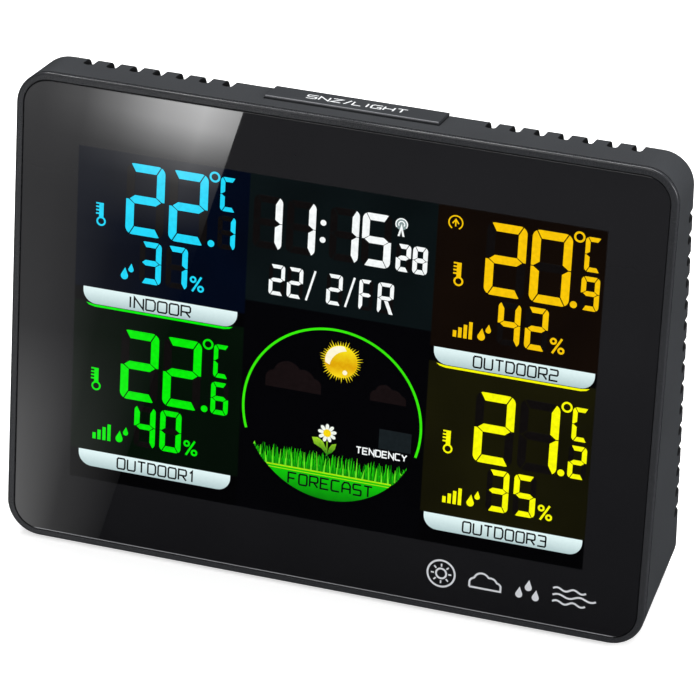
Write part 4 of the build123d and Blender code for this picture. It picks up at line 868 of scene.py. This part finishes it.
# ---- Rear legends and rating label --------------------------------------------------------------
legends = {"set": "SET", "mode": "MODE", "up": "UP", "down": "DOWN", "channel": "CH", "alarm": "ALARM"}
rear_words = []
for name, text in legends.items():
    low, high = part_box(f"button_{name}")
    middle = (low + high) / 2 - REAR_ORIGIN
    up = middle.dot(REAR_UP) / MM
    rear_words += words(text, -middle.x / MM, up + 5.2, 1.3, 1.8, 0.3, 0.5)
jack_low, jack_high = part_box("power_jack")
jack_middle = (jack_low + jack_high) / 2 - REAR_ORIGIN
jack_up = jack_middle.dot(REAR_UP) / MM
rear_words += words("DC IN", -jack_middle.x / MM, jack_up + 7.0, 1.5, 2.0, 0.3, 0.5)
prisms("rear_legends", rear_words, on_rear, 0.01, INK_THICKNESS, legend_finish)

label_low, label_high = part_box("rating_label")
label_middle = (label_low + label_high) / 2 - REAR_ORIGIN
label_up = label_middle.dot(REAR_UP) / MM
label_points = [vertex.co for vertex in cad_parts["rating_label"].data.vertices]
label_out = max((point - REAR_ORIGIN).dot(REAR_OUT) for point in label_points) / MM
border = rectangle(-24.6, label_up - 7.6, 24.6, label_up + 7.6)
lines = strips(border + border[:1], 0.25)
for row in range(6):
    y = label_up + 4.9 - row * 2.0
    x = -22.5
    while x < 2.0:
        long = random.uniform(1.0, 3.6)
        lines.append(rectangle(x, y, x + long, y + 0.7))
        x += long + 0.8
lines += ring(9.0, label_up + 2.4, 2.6, 0.35, steps=30)
box = rectangle(6.6, label_up - 5.2, 11.4, label_up - 2.0)
lines += strips(box + box[:1], 0.3)
for index in range(14):
    left = 14.4 + index * 0.6
    lines.append(rectangle(left, label_up - 5.6, left + random.choice((0.2, 0.35)), label_up + 5.4))
prisms("label_print", lines, on_rear, label_out + 0.01, 0.02, label_ink)


# ---- Floor, light and camera --------------------------------------------------------------------
def stage_material(name, colour, strength):
    nodes = Nodes(name)
    nodes.shader.inputs["Roughness"].default_value = 0.9
    tone = nodes.ramp(nodes.noise(400.0), [(0.0, shade(colour, 0.99)), (1.0, colour)])
    nodes.join(tone, nodes.shader.inputs["Base Color"])
    nodes.join(tone, nodes.shader.inputs["Emission Color"])
    nodes.shader.inputs["Emission Strength"].default_value = strength
    return nodes.material


FLOOR_HALF = 6.0  # metres, as is everything about the floor, the lights and the camera
floor_mesh = bpy.data.meshes.new("floor")
floor_corners = rectangle(-FLOOR_HALF, -FLOOR_HALF, FLOOR_HALF, FLOOR_HALF)
floor_mesh.from_pydata([(x, y, 0) for x, y in floor_corners], [], [(0, 1, 2, 3)])
floor = bpy.data.objects.new("floor", floor_mesh)
bpy.context.scene.collection.objects.link(floor)
floor_mesh.materials.append(stage_material("floor_white", (0.86, 0.86, 0.86, 1.0), 0.62))
floor.visible_glossy = False

world = bpy.data.worlds.new("studio")
bpy.context.scene.world = world
world.use_nodes = True
world_nodes = world.node_tree


def sky(strength):
    node = world_nodes.nodes.new("ShaderNodeBackground")
    node.inputs["Color"].default_value = (1.0, 1.0, 1.0, 1.0)
    node.inputs["Strength"].default_value = strength
    return node.outputs[0]


def chosen(ray, otherwise, when):
    mixer = world_nodes.nodes.new("ShaderNodeMixShader")
    world_nodes.links.new(path.outputs[ray], mixer.inputs["Fac"])
    world_nodes.links.new(otherwise, mixer.inputs[1])
    world_nodes.links.new(when, mixer.inputs[2])
    return mixer.outputs[0]


path = world_nodes.nodes.new("ShaderNodeLightPath")
surroundings = chosen("Is Camera Ray", chosen("Is Glossy Ray", sky(0.55), sky(0.012)), sky(1.0))
world_nodes.links.new(surroundings, world_nodes.nodes["World Output"].inputs["Surface"])


def area(name, place, aim, wide, tall, watts):
    lamp = bpy.data.lights.new(name, "AREA")
    lamp.shape = "RECTANGLE"
    lamp.size = wide
    lamp.size_y = tall
    lamp.energy = watts
    holder = bpy.data.objects.new(name, lamp)
    bpy.context.scene.collection.objects.link(holder)
    holder.location = place
    holder.rotation_euler = (Vector(aim) - Vector(place)).to_track_quat("-Z", "Y").to_euler()


area("light_top", (-0.1, 0.75, 1.5), (0, 0, 0.1), 1.8, 0.3, 34.0)
area("light_right", (1.9, 0.2, 0.7), (0, 0, 0.07), 0.7, 1.0, 25.0)
area("light_front", (-0.4, -1.6, 1.5), (0, 0, 0.07), 0.9, 0.5, 5.0)

CAMERA_PLACE = Vector((0.34368, -0.92549, 0.80881))
CAMERA_TURN = radians(20.2263)  # round to the right of the front
CAMERA_HEIGHT = radians(37.0055)  # above the horizon
CAMERA_ROLL = radians(-2.6265)
camera = bpy.data.objects.new("camera", bpy.data.cameras.new("camera"))
bpy.context.scene.collection.objects.link(camera)
camera.matrix_world = (Matrix.Translation(CAMERA_PLACE) @ Matrix.Rotation(CAMERA_TURN, 4, "Z")
                       @ Matrix.Rotation(pi / 2 - CAMERA_HEIGHT, 4, "X")
                       @ Matrix.Rotation(CAMERA_ROLL, 4, "Z"))
camera.data.sensor_width = 36.0
camera.data.lens = 227.92
camera.data.clip_start = 0.01
camera.data.dof.use_dof = False
bpy.context.scene.camera = camera
bpy.context.scene.view_settings.view_transform = "Standard"

# A tall softbox in front and to the left, seen in the lens. Its corners are where the light on the
# lens should end, carried out along the mirrored line of sight.
behind_lens = CAMERA_PLACE - 2 * (CAMERA_PLACE - FRONT_ORIGIN).dot(FRONT_OUT) * FRONT_OUT
SOFTBOX_REACH = 0.8
corners = {"low_left": (-115.0, -12.0), "low_right": (-69.0, -6.0), "high_right": (-27.0, 143.0),
           "high_left": (-115.0, 150.0)}
to_lens = on_front(-70.0, 70.0) - behind_lens
middle_ray = to_lens.normalized()


def softbox_point(across, up):
    ray = (on_front(across, up) - behind_lens).normalized()
    return behind_lens + ray * (to_lens.length + SOFTBOX_REACH / ray.dot(middle_ray))


STEPS = 12
box_mesh = bpy.data.meshes.new("softbox")
box_build = bmesh.new()
glow_layer = box_build.loops.layers.uv.new("UVMap")
grid = []
for row in range(STEPS + 1):
    share_up = row / STEPS
    line = []
    for column in range(STEPS + 1):
        share_across = column / STEPS
        low_point = Vector(corners["low_left"]).lerp(Vector(corners["low_right"]), share_across)
        high_point = Vector(corners["high_left"]).lerp(Vector(corners["high_right"]), share_across)
        point = low_point.lerp(high_point, share_up)
        line.append((box_build.verts.new(softbox_point(point.x, point.y)), (share_across, share_up)))
    grid.append(line)
for row in range(STEPS):
    for column in range(STEPS):
        cells = [grid[row][column], grid[row][column + 1], grid[row + 1][column + 1], grid[row + 1][column]]
        face = box_build.faces.new([vertex for vertex, share in cells])
        for loop, (vertex, share) in zip(face.loops, cells):
            loop[glow_layer].uv = share
box_build.to_mesh(box_mesh)
box_build.free()
softbox = bpy.data.objects.new("softbox", box_mesh)
bpy.context.scene.collection.objects.link(softbox)
box_nodes = Nodes("softbox_cloth")
spread = box_nodes.add("ShaderNodeSeparateXYZ")
box_nodes.join(box_nodes.tree.nodes["Texture Coordinate"].outputs["UV"], spread.inputs[0])


def grey(value):
    return (value, value, value, 1.0)


along_top = box_nodes.ramp(spread.outputs["X"], [(0.33, grey(0.03)), (0.48, grey(0.13)), (0.6, grey(0.4)),
                                                 (0.74, grey(0.88)), (0.88, grey(1.18)), (1.0, grey(0.76))])
near_top = box_nodes.ramp(spread.outputs["Y"], [(0.7, grey(0.0)), (0.8, grey(0.07)), (0.85, grey(0.2)),
                                                (0.885, grey(0.48)), (0.92, grey(0.85)), (0.96, grey(1.0))])
below = box_nodes.ramp(spread.outputs["Y"], [(0.0, grey(0.3)), (0.3, grey(0.18)), (0.48, grey(0.065)),
                                             (0.75, grey(0.045)), (0.9, grey(0.055))])
to_left = box_nodes.ramp(spread.outputs["X"], [(0.3, grey(1.1)), (0.41, grey(1.0)), (0.54, grey(0.68)),
                                               (0.69, grey(0.27)), (1.0, grey(0.04))])
rise = box_nodes.maths("ADD", box_nodes.maths("MULTIPLY", along_top, near_top),
                       box_nodes.maths("MULTIPLY", below, to_left))
box_nodes.shader.inputs["Base Color"].default_value = (0.0, 0.0, 0.0, 1.0)
box_nodes.join(rise, box_nodes.shader.inputs["Emission Color"])
box_nodes.shader.inputs["Emission Strength"].default_value = 10.0
box_mesh.materials.append(box_nodes.material)
softbox.visible_camera = False
softbox.visible_shadow = False
softbox.visible_diffuse = False
